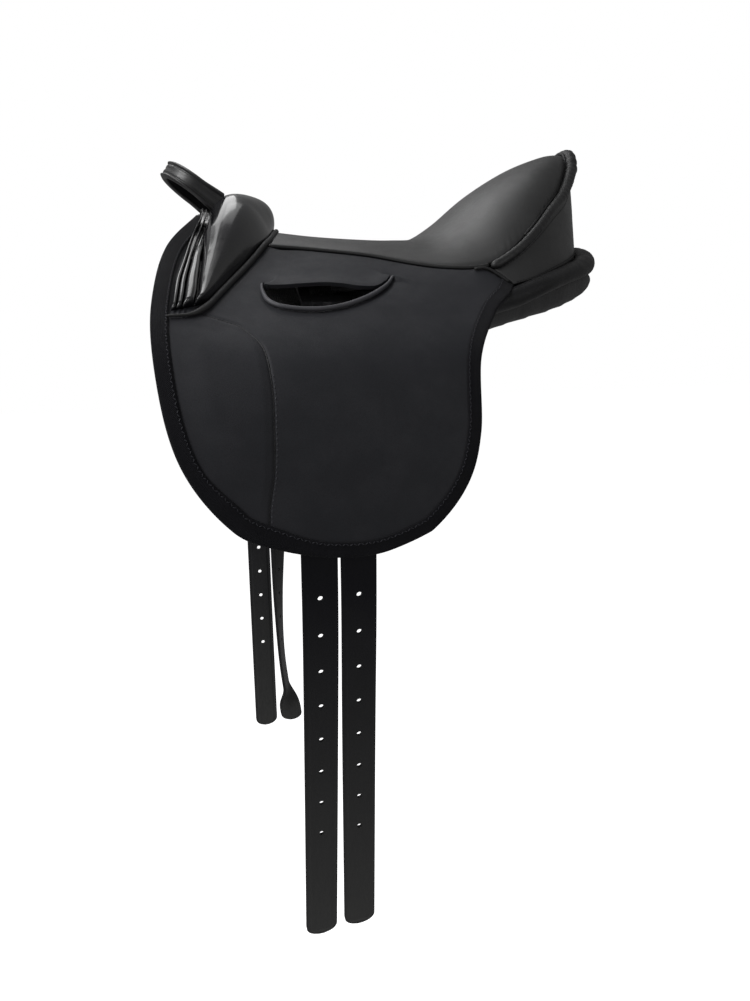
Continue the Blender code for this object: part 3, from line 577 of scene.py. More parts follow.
class Nodes:
    """Node tree with short calls for the nodes that materials and surroundings use."""

    def __init__(self, owner: bpy.types.Material | bpy.types.World, shader: str) -> None:
        """Start from the owner's plain tree.

        Args:
            owner: the material or world.
            shader: the name of the node that everything ends in.
        """
        owner.use_nodes = True
        self.tree = owner.node_tree
        self.shader = self.tree.nodes[shader]

    def add(self, kind: str, settings: dict[str, object] | None = None,
            **values: object) -> bpy.types.Node:
        """Add a node.

        Args:
            kind: the node's type.
            settings: its properties.
            **values: its inputs by name with _ for a space, each a number or a node's output.

        Returns:
            The node.
        """
        node = self.tree.nodes.new(kind)
        for key, value in (settings or {}).items():
            setattr(node, key, value)
        for key, value in values.items():
            self.put(node.inputs[key.replace("_", " ")], value)
        return node

    def put(self, socket: Socket, value: object) -> None:
        """Set a socket or link it.

        Args:
            socket: the socket.
            value: a value or another node's output.
        """
        if isinstance(value, Socket):
            self.tree.links.new(value, socket)
        else:
            socket.default_value = value

    def surface(self, **values: object) -> None:
        """Set the shader's inputs by name."""
        for key, value in values.items():
            self.put(self.shader.inputs[key.replace("_", " ")], value)

    def math(self, operation: str, a: object, b: object = 0.0, c: object = 0.0) -> Socket:
        """One sum of up to three numbers.

        Args:
            operation: what is done with them.
            a: the first number.
            b: the second.
            c: the third.

        Returns:
            The result.
        """
        node = self.add("ShaderNodeMath", {"operation": operation})
        for socket, value in zip(node.inputs, (a, b, c)):
            self.put(socket, value)
        return node.outputs[0]

    def span(self, value: object, low: float, high: float, to_low: float = 0.0,
             to_high: float = 1.0, smooth: bool = False) -> Socket:
        """Turn one range into another, clamped.

        Args:
            value: the number.
            low: start of its range.
            high: end of its range.
            to_low: what low becomes.
            to_high: what high becomes.
            smooth: whether it eases in and out.

        Returns:
            The new number.
        """
        node = self.add("ShaderNodeMapRange",
                        {"interpolation_type": "SMOOTHSTEP" if smooth else "LINEAR"},
                        Value=value, From_Min=low, From_Max=high, To_Min=to_low, To_Max=to_high)
        return node.outputs["Result"]


class Recipe(Nodes):
    """Node tree of one material."""

    def __init__(self, name: str, roughness: float, specular: float) -> None:
        """Start from a plain shader.

        Args:
            name: the material's name.
            roughness: how matt it is before anything is linked.
            specular: how strongly it reflects, 0.5 for plain leather.
        """
        self.material = bpy.data.materials.new(name)
        super().__init__(self.material, "Principled BSDF")
        self.surface(Roughness=roughness, Specular_IOR_Level=specular)

    def place(self) -> Socket:
        """Object coordinates, in metres."""
        return self.add("ShaderNodeTexCoord").outputs["Object"]

    def chart(self) -> Socket:
        """The piece's own UV map, in metres."""
        return self.add("ShaderNodeTexCoord").outputs["UV"]

    def axes(self, place: Socket) -> list[Socket]:
        """The three numbers of a place."""
        return list(self.add("ShaderNodeSeparateXYZ", None, Vector=place).outputs)

    def drawn(self, place: Socket, scale: Colour) -> Socket:
        """Coordinates that draw a pattern out along each axis whose scale is below 1."""
        return self.add("ShaderNodeMapping", None, Vector=place, Scale=scale).outputs[0]

    def number(self, name: str) -> Socket:
        """A number that the piece keeps at each point."""
        return self.add("ShaderNodeAttribute", {"attribute_name": name}).outputs["Fac"]

    def noise(self, place: object, cell: float, detail: float = 2.0,
              roughness: float = 0.5) -> Socket:
        """Noise with features of about cell metres, 0 to 1."""
        node = self.add("ShaderNodeTexNoise", None, Vector=place, Scale=1 / cell, Detail=detail,
                        Roughness=roughness)
        return node.outputs["Fac"]

    def cells(self, place: object, cell: float, feature: str = "F1") -> Socket:
        """Distance inside cells of about cell metres."""
        node = self.add("ShaderNodeTexVoronoi", {"feature": feature}, Vector=place, Scale=1 / cell)
        return node.outputs["Distance"]

    def warped(self, place: Socket, cell: float, amount: float) -> Socket:
        """Coordinates pushed about by noise.

        Args:
            place: the coordinates.
            cell: size of the noise's features.
            amount: how far they are pushed.

        Returns:
            The new coordinates.
        """
        push = self.add("ShaderNodeTexNoise", None, Vector=place, Scale=1 / cell, Detail=1.0)
        centred = self.add("ShaderNodeVectorMath", {"operation": "SUBTRACT"})
        self.put(centred.inputs[0], push.outputs["Color"])
        centred.inputs[1].default_value = (0.5, 0.5, 0.5)
        scaled = self.add("ShaderNodeVectorMath", {"operation": "SCALE"})
        self.put(scaled.inputs[0], centred.outputs[0])
        scaled.inputs["Scale"].default_value = 2 * amount
        moved = self.add("ShaderNodeVectorMath", {"operation": "ADD"})
        self.put(moved.inputs[0], place)
        self.put(moved.inputs[1], scaled.outputs[0])
        return moved.outputs[0]

    def blend(self, factor: object, a: Colour | Socket, b: Colour | Socket) -> Socket:
        """Colour between a and b.

        Args:
            factor: 0 for a and 1 for b.
            a: one colour.
            b: the other.

        Returns:
            The colour.
        """
        node = self.add("ShaderNodeMix", {"data_type": "RGBA"})
        self.put(node.inputs[0], factor)
        for socket, value in ((node.inputs[6], a), (node.inputs[7], b)):
            self.put(socket, (*value, 1.0) if isinstance(value, tuple) else value)
        return node.outputs[2]

    def bump(self, height: object, depth: float, over: Socket | None = None,
             strength: float = 1.0) -> Socket:
        """Normal that a height from 0 to 1 gives, for a relief depth metres deep.

        Args:
            height: the height.
            depth: the relief's depth.
            over: the normal that it adds to.
            strength: how much of it shows.

        Returns:
            The normal.
        """
        node = self.add("ShaderNodeBump", None, Height=height, Distance=depth, Strength=strength)
        if over is not None:
            self.put(node.inputs["Normal"], over)
        return node.outputs["Normal"]


@dataclass(frozen=True)
class Finish:
    """A named surface finish; each kind builds its own material once."""

    name: str
    slot: str

    def recipe(self) -> Recipe:
        """Build the node tree."""
        raise NotImplementedError

    def material(self) -> bpy.types.Material:
        """The finish's material, made the first time that it is asked for."""
        found = bpy.data.materials.get(self.name)
        return found if found else self.recipe().material

    def dress(self, piece: Piece) -> Piece:
        """Put the finish on a piece.

        Args:
            piece: the piece.

        Returns:
            The piece.
        """
        piece.data.materials.clear()
        piece.data.materials.append(self.material())
        return piece


@dataclass(frozen=True)
class Leather(Finish):
    """Dyed leather: pebbled grain, fine pores, cloudy colour and a slightly uneven shine."""

    colour: Colour = (0.02, 0.02, 0.02)
    cloud: Colour = (0.03, 0.03, 0.03)
    roughness: float = 0.45
    uneven: float = 0.08
    specular: float = 0.4
    pebble: float = 1.3 * MM
    relief: float = 0.05 * MM
    crease: float = 0.0
    gather: float = 0.0
    wax: float = 0.0
    nap: float = 0.0

    def recipe(self) -> Recipe:
        """Grain and pores as relief, clouds in colour and shine.

        Returns:
            The recipe.
        """
        r = Recipe(self.name, self.roughness, self.specular)
        place = r.place()
        grain = r.span(r.cells(r.warped(place, 3 * self.pebble, 0.4 * self.pebble), self.pebble,
                               "DISTANCE_TO_EDGE"), 0.0, 0.22, smooth=True)
        pores = r.noise(place, 0.45 * MM, 3.0, 0.7)
        clouds = r.noise(place, 38 * MM, 3.0, 0.55)
        streaks = r.noise(r.warped(place, 30 * MM, 8 * MM), 9 * MM, 4.0, 0.6)
        tone = r.blend(r.span(clouds, 0.35, 0.68, smooth=True), self.colour, self.cloud)
        dark = tuple(0.72 * c for c in self.colour)
        tone = r.blend(r.span(grain, 0.0, 0.5, 0.35, 0.0), tone, dark)
        r.surface(Base_Color=tone, Roughness=r.math(
            "ADD", r.span(streaks, 0.3, 0.7, self.roughness - self.uneven,
                          self.roughness + self.uneven), r.span(grain, 0.0, 1.0, 0.05, 0.0)))
        normal = r.bump(grain, self.relief)
        normal = r.bump(pores, 0.3 * self.relief, normal)
        if self.crease > 0:
            folds = r.noise(r.warped(place, 20 * MM, 6 * MM), 14 * MM, 2.0, 0.4)
            normal = r.bump(folds, self.crease, normal)
        if self.gather > 0:
            drawn = r.drawn(r.warped(place, 25 * MM, 4 * MM), (1.0, 1.0, 0.22))
            normal = r.bump(r.noise(drawn, 5 * MM, 2.0, 0.5), self.gather, normal)
        r.surface(Normal=normal, Coat_Weight=self.wax, Coat_Roughness=0.28,
                  Sheen_Weight=self.nap, Sheen_Roughness=0.5)
        return r


@dataclass(frozen=True)
class Patent(Finish):
    """Lacquered leather: a near mirror over black, with the leather's slow unevenness under it."""

    colour: Colour = (0.006, 0.006, 0.007)
    roughness: float = 0.19
    ripple: float = 0.10 * MM
    lacquer: float = 0.40
    lacquer_roughness: float = 0.09

    def recipe(self) -> Recipe:
        """Lacquer with slow ripples, faint scuffs and haze.

        Returns:
            The recipe.
        """
        r = Recipe(self.name, self.roughness, 0.5)
        place = r.place()
        ripples = r.noise(place, 12 * MM, 1.5, 0.4)
        scuffs = r.noise(r.warped(place, 15 * MM, 4 * MM), 1.2 * MM, 5.0, 0.65)
        haze = r.noise(place, 26 * MM, 2.0, 0.5)
        tone = r.blend(r.span(haze, 0.4, 0.7), self.colour, tuple(1.8 * c for c in self.colour))
        r.surface(Base_Color=tone, Roughness=r.span(scuffs, 0.42, 0.75, self.roughness * 0.8,
                                                    self.roughness * 1.6),
                  Normal=r.bump(ripples, self.ripple), Coat_Weight=self.lacquer,
                  Coat_Roughness=self.lacquer_roughness)
        return r


@dataclass(frozen=True)
class Tape(Finish):
    """Woven binding tape: small herringbone yarns with a dull fuzz."""

    colour: Colour = (0.0022, 0.0022, 0.0034)
    lift: Colour = (0.0075, 0.0075, 0.0100)
    yarn: float = 0.75 * MM

    def recipe(self) -> Recipe:
        """Yarns from the piece's own UV map, which is in metres.

        Returns:
            The recipe.
        """
        r = Recipe(self.name, 0.85, 0.12)
        u, v, _ = r.axes(r.chart())
        slant = r.math("PINGPONG", u, 4 * self.yarn)
        row = r.math("FRACT", r.math("DIVIDE", r.math("ADD", v, slant), 1.4 * self.yarn))
        ridge = r.math("SINE", r.math("MULTIPLY", row, pi))
        cross = r.math("FRACT", r.math("DIVIDE", u, self.yarn))
        bead = r.math("SINE", r.math("MULTIPLY", cross, pi))
        weave = r.math("MULTIPLY", ridge, r.span(bead, 0.0, 1.0, 0.55, 1.0))
        fuzz = r.noise(r.place(), 0.3 * MM, 3.0, 0.7)
        lint = r.noise(r.place(), 7 * MM, 3.0, 0.6)
        tone = r.blend(r.math("MULTIPLY", weave, r.span(lint, 0.3, 0.75, 0.4, 1.0)), self.colour,
                       self.lift)
        r.surface(Base_Color=tone,
                  Normal=r.bump(fuzz, 0.08 * MM, r.bump(weave, 0.22 * MM)),
                  Sheen_Weight=0.03, Sheen_Roughness=0.6)
        return r


@dataclass(frozen=True)
class Thread(Finish):
    """Waxed sewing thread."""

    colour: Colour = (0.004, 0.004, 0.0045)

    def recipe(self) -> Recipe:
        """Fine twist and a waxy shine.

        Returns:
            The recipe.
        """
        r = Recipe(self.name, 0.5, 0.3)
        place = r.place()
        twist = r.noise(place, 0.25 * MM, 2.0, 0.5)
        tone = r.blend(r.span(twist, 0.35, 0.65), self.colour, tuple(2.2 * c for c in self.colour))
        r.surface(Base_Color=tone, Normal=r.bump(twist, 0.08 * MM))
        return r


@dataclass(frozen=True)
class Strap(Finish):
    """Strap leather: smooth face, grain drawn out along it, and painted light that makes it
    lighter towards the tip.
    """

    colour: Colour = (0.0035, 0.0035, 0.0055)
    cloud: Colour = (0.0060, 0.0060, 0.0080)
    # painted light: the lighter colour that the strap takes on towards its tip
    painted_tip_light: Colour = (0.044, 0.044, 0.043)
    roughness: float = 0.46

    def recipe(self) -> Recipe:
        """Lengthwise fibres, pores, painted light towards the tip, and a duller cut edge from the
        piece's edge number.

        Returns:
            The recipe.
        """
        r = Recipe(self.name, self.roughness, 0.16)
        place = r.place()
        fibres = r.noise(r.drawn(place, (1.0, 1.0, 0.12)), 1.6 * MM, 4.0, 0.6)
        pores = r.cells(r.warped(place, 2 * MM, 0.3 * MM), 0.8 * MM)
        clouds = r.noise(place, 45 * MM, 3.0, 0.5)
        tone = r.blend(r.span(clouds, 0.35, 0.7, smooth=True), self.colour, self.cloud)
        # Painted light: the colour lightens towards the tip, for the light that the lower straps
        # catch.
        down = r.span(r.axes(place)[2], -0.20, -0.50)
        tone = r.blend(r.math("MULTIPLY", down, r.span(fibres, 0.25, 0.75, 0.75, 1.0)), tone,
                       self.painted_tip_light)
        edge = r.number("edge")
        tone = r.blend(r.span(edge, 0.0, 1.0, 0.0, 0.6), tone, tuple(0.5 * c for c in self.colour))
        r.surface(Base_Color=tone,
                  Roughness=r.math("ADD", r.span(fibres, 0.3, 0.7, self.roughness - 0.06,
                                                 self.roughness + 0.08),
                                   r.math("MULTIPLY", edge, 0.15)),
                  Normal=r.bump(r.number("crease"), -0.5 * MM,
                                r.bump(pores, 0.04 * MM, r.bump(fibres, 0.06 * MM))))
        return r


@dataclass(frozen=True)
class Webbing(Finish):
    """Coarse plain woven web."""

    colour: Colour = (0.02, 0.02, 0.021)
    lift: Colour = (0.065, 0.065, 0.067)
    yarn: float = 1.5 * MM

    def recipe(self) -> Recipe:
        """Crossing yarns over object coordinates.

        Returns:
            The recipe.
        """
        r = Recipe(self.name, 0.85, 0.25)
        yarns = [r.math("ABSOLUTE", r.math("SINE", r.math("MULTIPLY", socket, pi / self.yarn)))
                 for socket in r.axes(r.place())[:2]]
        weave = r.math("MAXIMUM", *yarns)
        fuzz = r.noise(r.place(), 0.4 * MM, 3.0, 0.7)
        tone = r.blend(r.math("MULTIPLY", weave, fuzz), self.colour, self.lift)
        r.surface(Base_Color=tone, Normal=r.bump(fuzz, 0.1 * MM, r.bump(weave, 0.4 * MM)),
                  Sheen_Weight=0.3)
        return r


@dataclass(frozen=True)
class Resin(Finish):
    """Moulded tree: dull black plastic with flow marks."""

    colour: Colour = (0.012, 0.012, 0.013)

    def recipe(self) -> Recipe:
        """Mould texture and long flow marks.

        Returns:
            The recipe.
        """
        r = Recipe(self.name, 0.55, 0.4)
        place = r.place()
        texture = r.cells(place, 0.9 * MM)
        flow = r.noise(r.warped(place, 40 * MM, 15 * MM), 22 * MM, 3.0, 0.5)
        tone = r.blend(flow, self.colour, tuple(1.7 * c for c in self.colour))
        r.surface(Base_Color=tone, Roughness=r.span(flow, 0.3, 0.7, 0.5, 0.65),
                  Normal=r.bump(texture, 0.06 * MM))
        return r


@dataclass(frozen=True)
class Steel(Finish):
    """Forged steel with a dark oiled finish, brighter where leather rubs it."""

    colour: Colour = (0.10, 0.10, 0.105)
    worn: Colour = (0.30, 0.30, 0.31)

    def recipe(self) -> Recipe:
        """Brushed lines, hammer marks and rubbed patches.

        Returns:
            The recipe.
        """
        r = Recipe(self.name, 0.4, 0.5)
        place = r.place()
        brushed = r.noise(r.drawn(place, (0.1, 1.0, 1.0)), 0.4 * MM, 4.0, 0.6)
        hammered = r.noise(place, 5 * MM, 2.0, 0.4)
        rubbed = r.span(r.noise(place, 13 * MM, 4.0, 0.6), 0.55, 0.72, smooth=True)
        r.surface(Base_Color=r.blend(rubbed, self.colour, self.worn), Metallic=1.0,
                  Roughness=r.span(rubbed, 0.0, 1.0, 0.48, 0.28),
                  Normal=r.bump(brushed, 0.03 * MM, r.bump(hammered, 0.15 * MM)))
        return r


SEAT_LEATHER = Leather("Smooth cover leather", "seat_leather", (0.019, 0.0192, 0.0195),
                       (0.024, 0.0242, 0.0245), roughness=0.42, uneven=0.04, specular=0.5,
                       pebble=1.1 * MM, relief=0.022 * MM, crease=0.15 * MM)
FLAP_LEATHER = Leather("Flap leather", "flap_leather", (0.0188, 0.0194, 0.0226),
                       (0.0246, 0.0250, 0.0286), roughness=0.58, uneven=0.05, specular=0.17,
                       pebble=1.0 * MM, relief=0.022 * MM)
# Painted light: the flap's leather, made lighter and shinier for the slot's raised lip, where it
# catches the light.
LIT_SLOT_LEATHER = Leather("Slot lip leather with painted light", "flap_leather", (0.044, 0.044, 0.050),
                       (0.056, 0.056, 0.063), roughness=0.55, uneven=0.05, specular=0.40,
                       pebble=1.0 * MM, relief=0.022 * MM)
CORD_LEATHER = Leather("Pommel cord leather", "piping_leather", (0.022, 0.022, 0.0225),
                       (0.029, 0.029, 0.0295), roughness=0.55, uneven=0.05, specular=0.3,
                       pebble=0.9 * MM, relief=0.02 * MM)
PIPING_LEATHER = Leather("Piping leather", "piping_leather", (0.006, 0.006, 0.0065),
                         (0.010, 0.010, 0.0105), roughness=0.50, uneven=0.06, specular=0.35,
                         pebble=0.9 * MM, relief=0.03 * MM)
RIM_LEATHER = Leather("Cantle rim leather", "piping_leather", (0.009, 0.009, 0.0095),
                      (0.014, 0.014, 0.0145), roughness=0.46, uneven=0.05, specular=0.40,
                      pebble=0.9 * MM, relief=0.03 * MM)
ROLL_LEATHER = Leather("Roll leather", "piping_leather", (0.0055, 0.0055, 0.0062),
                       (0.0095, 0.0095, 0.0102), roughness=0.50, uneven=0.06, specular=0.26,
                       pebble=1.1 * MM, relief=0.04 * MM, crease=0.4 * MM)
PANEL_LEATHER = Leather("Panel leather", "flocked_panel", (0.028, 0.028, 0.0285),
                        (0.042, 0.042, 0.0425), roughness=0.55, uneven=0.05, specular=0.35,
                        pebble=0.9 * MM, relief=0.06 * MM, crease=0.5 * MM, gather=0.7 * MM)
PATENT = Patent("Patent leather", "patent_leather")
HANDLE_LEATHER = Leather("Handle leather", "patent_leather", (0.010, 0.010, 0.0105),
                         (0.017, 0.017, 0.0175), roughness=0.42, uneven=0.07, specular=0.4,
                         pebble=0.9 * MM, relief=0.03 * MM, wax=0.15)
KNEE_THREAD = Thread("Knee seam thread", "flap_leather", (0.024, 0.024, 0.028))
# Painted shade: near-black matt leather for the shade inside the handle's loop.
HANDLE_PAINTED_SHADE = Leather("Handle painted shade", "patent_leather", (0.004, 0.004, 0.0045),
                        (0.006, 0.006, 0.0065), roughness=0.85, uneven=0.05, specular=0.08,
                        pebble=0.7 * MM, relief=0.05 * MM, nap=0.02)
BINDING_TAPE = Tape("Binding tape", "edge_binding")
THREAD = Thread("Black thread", "edge_binding")
TAPE_THREAD = Thread("Binding thread", "edge_binding", (0.016, 0.016, 0.020))
BILLET_LEATHER = Strap("Billet leather", "billet_leather")
WEB = Webbing("Billet web", "webbing")
TREE_RESIN = Resin("Tree resin", "tree_resin")
DARK_STEEL = Steel("Dark steel", "steel")


# ---- the saddle's drawn lines and surfaces, for y > 0 where they have a side ----

COVER = 2.0 * MM
WELT_RADIUS = 1.8 * MM
RIM_START = 0.52
SIDE_SHARE = 0.46
FLAP_FOLD = 0.52
FLAP_THICKNESS = 3.0 * MM

SEAT_MEDIAN = mm((-79, 0, 43.8), (-50, 0, 41.2), (-15, 0, 39.6), (15, 0, 39.4), (42, 0, 42),
                 (68, 0, 57.2), (98, 0, 81.3), (130, 0, 100.6), (156, 0, 111), (171, 0, 114),
                 (180, 0, 114))
SEAT_EDGE = mm((-94, 57, 31.5), (-56, 60, 29), (-18, 71, 25), (14, 85, 19), (40, 96, 16),
               (67, 101, 17.5), (89.5, 98, 29), (111, 87, 45), (132.5, 70, 63), (154, 49, 79),
               (175, 22, 99.5))


def seat_surface(u: Array, s: Array) -> Array:
    """Top of the seat.

    Args:
        u: from the far edge to the near edge.
        s: from front to rear.

    Returns:
        Array (n, 3).
    """
    t = 1 - 2 * u
    median, edge = weave_rows(SEAT_MEDIAN, s), weave_rows(SEAT_EDGE, s)
    a = np.abs(t)
    return np.stack([median[:, 0] + (edge[:, 0] - median[:, 0]) * a ** 2, edge[:, 1] * t,
                     median[:, 2] + (edge[:, 2] - median[:, 2]) * a ** 2.4], axis=1)


def seat_border(share: Array) -> Array:
    """Edge of the seat from the near front corner, round the cantle top, to the far front.

    Args:
        share: places along it.

    Returns:
        Array (n, 3).
    """
    side = from_ends(share) / SIDE_SHARE
    across = 1 - (share - SIDE_SHARE) / (1 - 2 * SIDE_SHARE)
    return seat_surface(np.clip(across, 0.0, 1.0), np.minimum(side, 1.0))


def outward(line: Callable[[Array], Array], share: Array, step: float = 0.004) -> Array:
    """Level unit vectors that point away from the seat, square to a line round the cantle."""
    ahead = line(np.minimum(share + step, 1.0)) - line(np.maximum(share - step, 0.0))
    return unit(np.stack([ahead[:, 1], -ahead[:, 0], 0 * share], axis=1))


def seat_normals(u: Array, s: Array) -> Array:
    """Upward normals of the seat."""
    return turned(normals_of(seat_surface, u, s), UP)


def edge_line(share: Array, out: Array | float, down: Array | float) -> Array:
    """Points beside the seat's border, moved outwards and down.

    Args:
        share: places along the border.
        out: how far outwards, in metres.
        down: how far down.

    Returns:
        Array (n, 3).
    """
    share = np.atleast_1d(share)
    moved = seat_border(share) + outward(seat_border, share) * np.reshape(out, (-1, 1))
    moved[:, 2] -= down
    return moved


def flap_top() -> Array:
    """Upper edge of the flap: under the pommel cover, then outside the seat welt.

    Returns:
        Array (n, 3) from front to rear.
    """
    beside = edge_line(SIDE_SHARE * stops(10, 0.01, 0.5), 2 * WELT_RADIUS + 4 * GAP, 2.6 * MM)
    return np.concatenate([mm((-143, 26, 55), (-118, 42, 42)), beside * (1, -1, 1),
                           mm((83, 116, 2))])


FLAP_LINES = [Line(flap_top())] + [Line(mm(*row)) for row in (
    ((-168, 80, 29), (-142, 90, 13), (-110, 94, 9), (-74, 97, 9), (-36, 101, 8), (6, 110, 4),
     (48, 120, 0), (76, 125, -4)),
    ((-180, 136, -4), (-154, 141, -14), (-120, 138, -15), (-85, 136, -14), (-50, 135, -13),
     (-12, 136, -14), (25, 139, -16), (57, 142, -17)),
    ((-183, 171, -37), (-155, 176, -42), (-122, 178, -45), (-90, 178, -46), (-57, 177, -47),
     (-24, 175, -48), (6, 173, -48), (35, 170, -47)),
    ((-178, 189, -84), (-149.5, 191.5, -87), (-119.5, 193, -90), (-89, 193.5, -92),
     (-59, 193, -94), (-29, 191, -96), (1.5, 189, -97), (30, 186, -96)),
    ((-166, 195.5, -118), (-138, 197, -126), (-111, 198, -132), (-84, 198.5, -135.5),
     (-57.5, 198.5, -137), (-31, 197.5, -137), (-6, 195.5, -135), (18.5, 193, -131)),
)] + [Line(mm(
    (-142, 198.4, -149.9), (-134, 199, -155.6), (-124, 199.5, -160), (-106, 200, -166.1),
    (-87, 200.5, -170.6),
    (-66, 200.5, -173), (-46, 200, -172.3), (-27, 199, -167.5), (-8.6, 198, -160.4)),
    curl=(1.0, 1.0))]
SLOT_LOWER = Line(mm((-105.5, 105.6, 0), (-106.8, 114.2, 0), (-106.4, 122.4, 0),
                     (-104.8, 128.2, 0), (-100.6, 132.4, 0), (-95, 134.6, 0), (-83.5, 136.5, 0),
                     (-68.1, 136.5, 0), (-49.8, 132.3, 0), (-31.3, 123.7, 0), (-17.6, 113.2, 0),
                     (-9.5, 102.7, 0)))
SLOT_UPPER = Line(mm((-105.5, 105.6, 0), (-104.8, 109.4, 0), (-100.1, 110.5, 0),
                     (-90.9, 111, 0), (-79.3, 110.5, 0), (-63.7, 109.8, 0), (-49.9, 111.7, 0),
                     (-37.5, 115, 0), (-25.2, 115, 0), (-15.4, 108.4, 0), (-9.5, 102.7, 0)))
KNEE_SEAM = mm((-152.4, 144.6, -16.6), (-146.1, 145.6, -18), (-136.9, 149, -20.9),
               (-128.2, 152.9, -23.8), (-123.6, 158, -27.4), (-119, 163.6, -31.5),
               (-115.9, 169, -35.8), (-114.3, 174.9, -41.5), (-113.5, 180.2, -48.3),
               (-112.9, 185, -58.5), (-112.8, 188.1, -67.8), (-113.3, 191.3, -82),
               (-114.1, 194.7, -98.4), (-115.6, 196.7, -116.4), (-117.6, 197.5, -127.3),
               (-119.2, 198.3, -136.6), (-120, 199.1, -149.1))


def flap_surface(u: Array, v: Array) -> Array:
    """Outer face of the flap; u runs from front to rear, v from the top to the foot."""
    return weave_rows(np.stack([line.at(u) for line in FLAP_LINES]), v, (0.0, 1.0))


def flap_normals(u: Array, v: Array) -> Array:
    """Normals of the flap's face that point away from the horse."""
    return turned(normals_of(flap_surface, u, v), (0.0, 1.0, 1.0))


def flap_above(points: Array, lift: float) -> Array:
    """Points over the flap's face at the x and y of drawn points."""
    u, v = locate(lambda a, b: flap_surface(a, b) * (1, 1, 0), points * (1, 1, 0))
    return flap_surface(u, v) + flap_normals(u, v) * lift


def flap_beside(points: Array, lift: float, face: Surface = flap_surface) -> tuple[Array, Array]:
    """Find the places on the flap that lie nearest to points.

    Args:
        points: array (n, 3).
        lift: how far over the face the found points stand.
        face: the drawn face or one with its padding.

    Returns:
        The found points and the normals there.
    """
    u, v = locate(flap_surface, points)
    normals = flap_normals(u, v)
    return face(u, v) + normals * lift, normals


def mirrored(half: Array) -> Array:
    """A half line that starts on the median plane, continued on the near side before it."""
    return np.concatenate([half[:0:-1] * (1, -1, 1), half])


POMMEL_REAR = Line(mirrored(mm((-82, 0, 45.5), (-85.5, 22, 42.5), (-91, 40, 38.5),
                               (-99.5, 58, 31), (-112.5, 79, 18), (-126, 100, 6.5),
                               (-138, 120, -3.8), (-147, 134, -10.3))))
POMMEL_FRONT = Line(mirrored(mm((-140, 0, 60), (-140.5, 22, 57), (-143, 37, 50), (-149, 55, 39.5),
                                (-155, 75, 27.5), (-160, 94, 16.5), (-165.5, 116, 4.8),
                                (-168.5, 134, -5.5), (-170.5, 147.5, -14.5))))
POMMEL_CORD = mm((-97.9, 60.5, 29.3), (-106.6, 74, 21.0), (-115.5, 87, 13.0), (-127.4, 105, 3.0),
                 (-138.7, 124.2, -6.2), (-146.7, 137, -12.6), (-153.8, 144.5, -16.4),
                 (-160, 148.5, -18.0), (-167, 150.8, -18.6), (-174, 153, -18.6))
GUSSET_HALF = mm((109, 104, 7.5), (134, 88, 14.5), (156, 69, 20), (174, 48, 25.5), (186, 25, 31),
                 (191, 0, 34))


def round_the_rear(half: Array) -> Line:
    """A half line that ends on the median plane, as a line from the near end to the far end."""
    return Line(np.concatenate([half * (1, -1, 1), half[-2::-1]]))


GUSSET_BASE = round_the_rear(np.concatenate([mm((85, 115.5, 3)), GUSSET_HALF]))
ROLL_BASE = round_the_rear(np.concatenate([mm((62, 112, -8), (85, 110, -1)), GUSSET_HALF]))


def pommel_base(u: Array, v: Array) -> Array:
    """Surface under the pommel cover; u runs from near foot to far foot, v from rear to front."""
    v = v[:, None]
    return POMMEL_REAR.at(u) * (1 - v) + POMMEL_FRONT.at(u) * v


def pommel_normals(u: Array) -> Array:
    """Upward normals along the middle of the pommel's base."""
    return turned(normals_of(pommel_base, u, np.full(len(u), 0.5)), UP)


# ---- sub-assemblies ----


def body_with(top: Surface, bottom: Surface, name: str, across: Array, along: Array,
              size: tuple[float, float]) -> Piece:
    """Close two surfaces that meet along their edges into one body.

    Args:
        top: the upper surface.
        bottom: the lower surface.
        name: the piece's name.
        across: u stops.
        along: v stops.
        size: real width and length.

    Returns:
        The piece.
    """
    count = len(across)
    u = np.tile(np.concatenate([across, across[-2:0:-1]]), len(along))
    v = np.repeat(along, 2 * count - 2)
    upper, lower = top(u, v), bottom(u, v)
    over = np.tile(np.arange(2 * count - 2) < count, len(along))
    rings = np.where(over[:, None], upper, lower).reshape(len(along), 2 * count - 2, 3)
    return ring_tube(name, rings, (2 * size[0], size[1]))


def rounded_border(u: Array, v: Array, side: float, end: float) -> Array:
    """How full a cushion is at a place, 0 at its border and 1 away from it.

    Args:
        u: places across.
        v: places along.
        side: width of the rounding in u.
        end: width of the rounding in v.

    Returns:
        Fullness from 0 to 1.
    """
    near_side = np.clip(from_ends(u) / side, 0, 1)
    near_end = np.clip(from_ends(v) / end, 0, 1)
    return np.sqrt((1 - (1 - near_side) ** 2) * (1 - (1 - near_end) ** 2))


CLOTH_FRAMES = 20


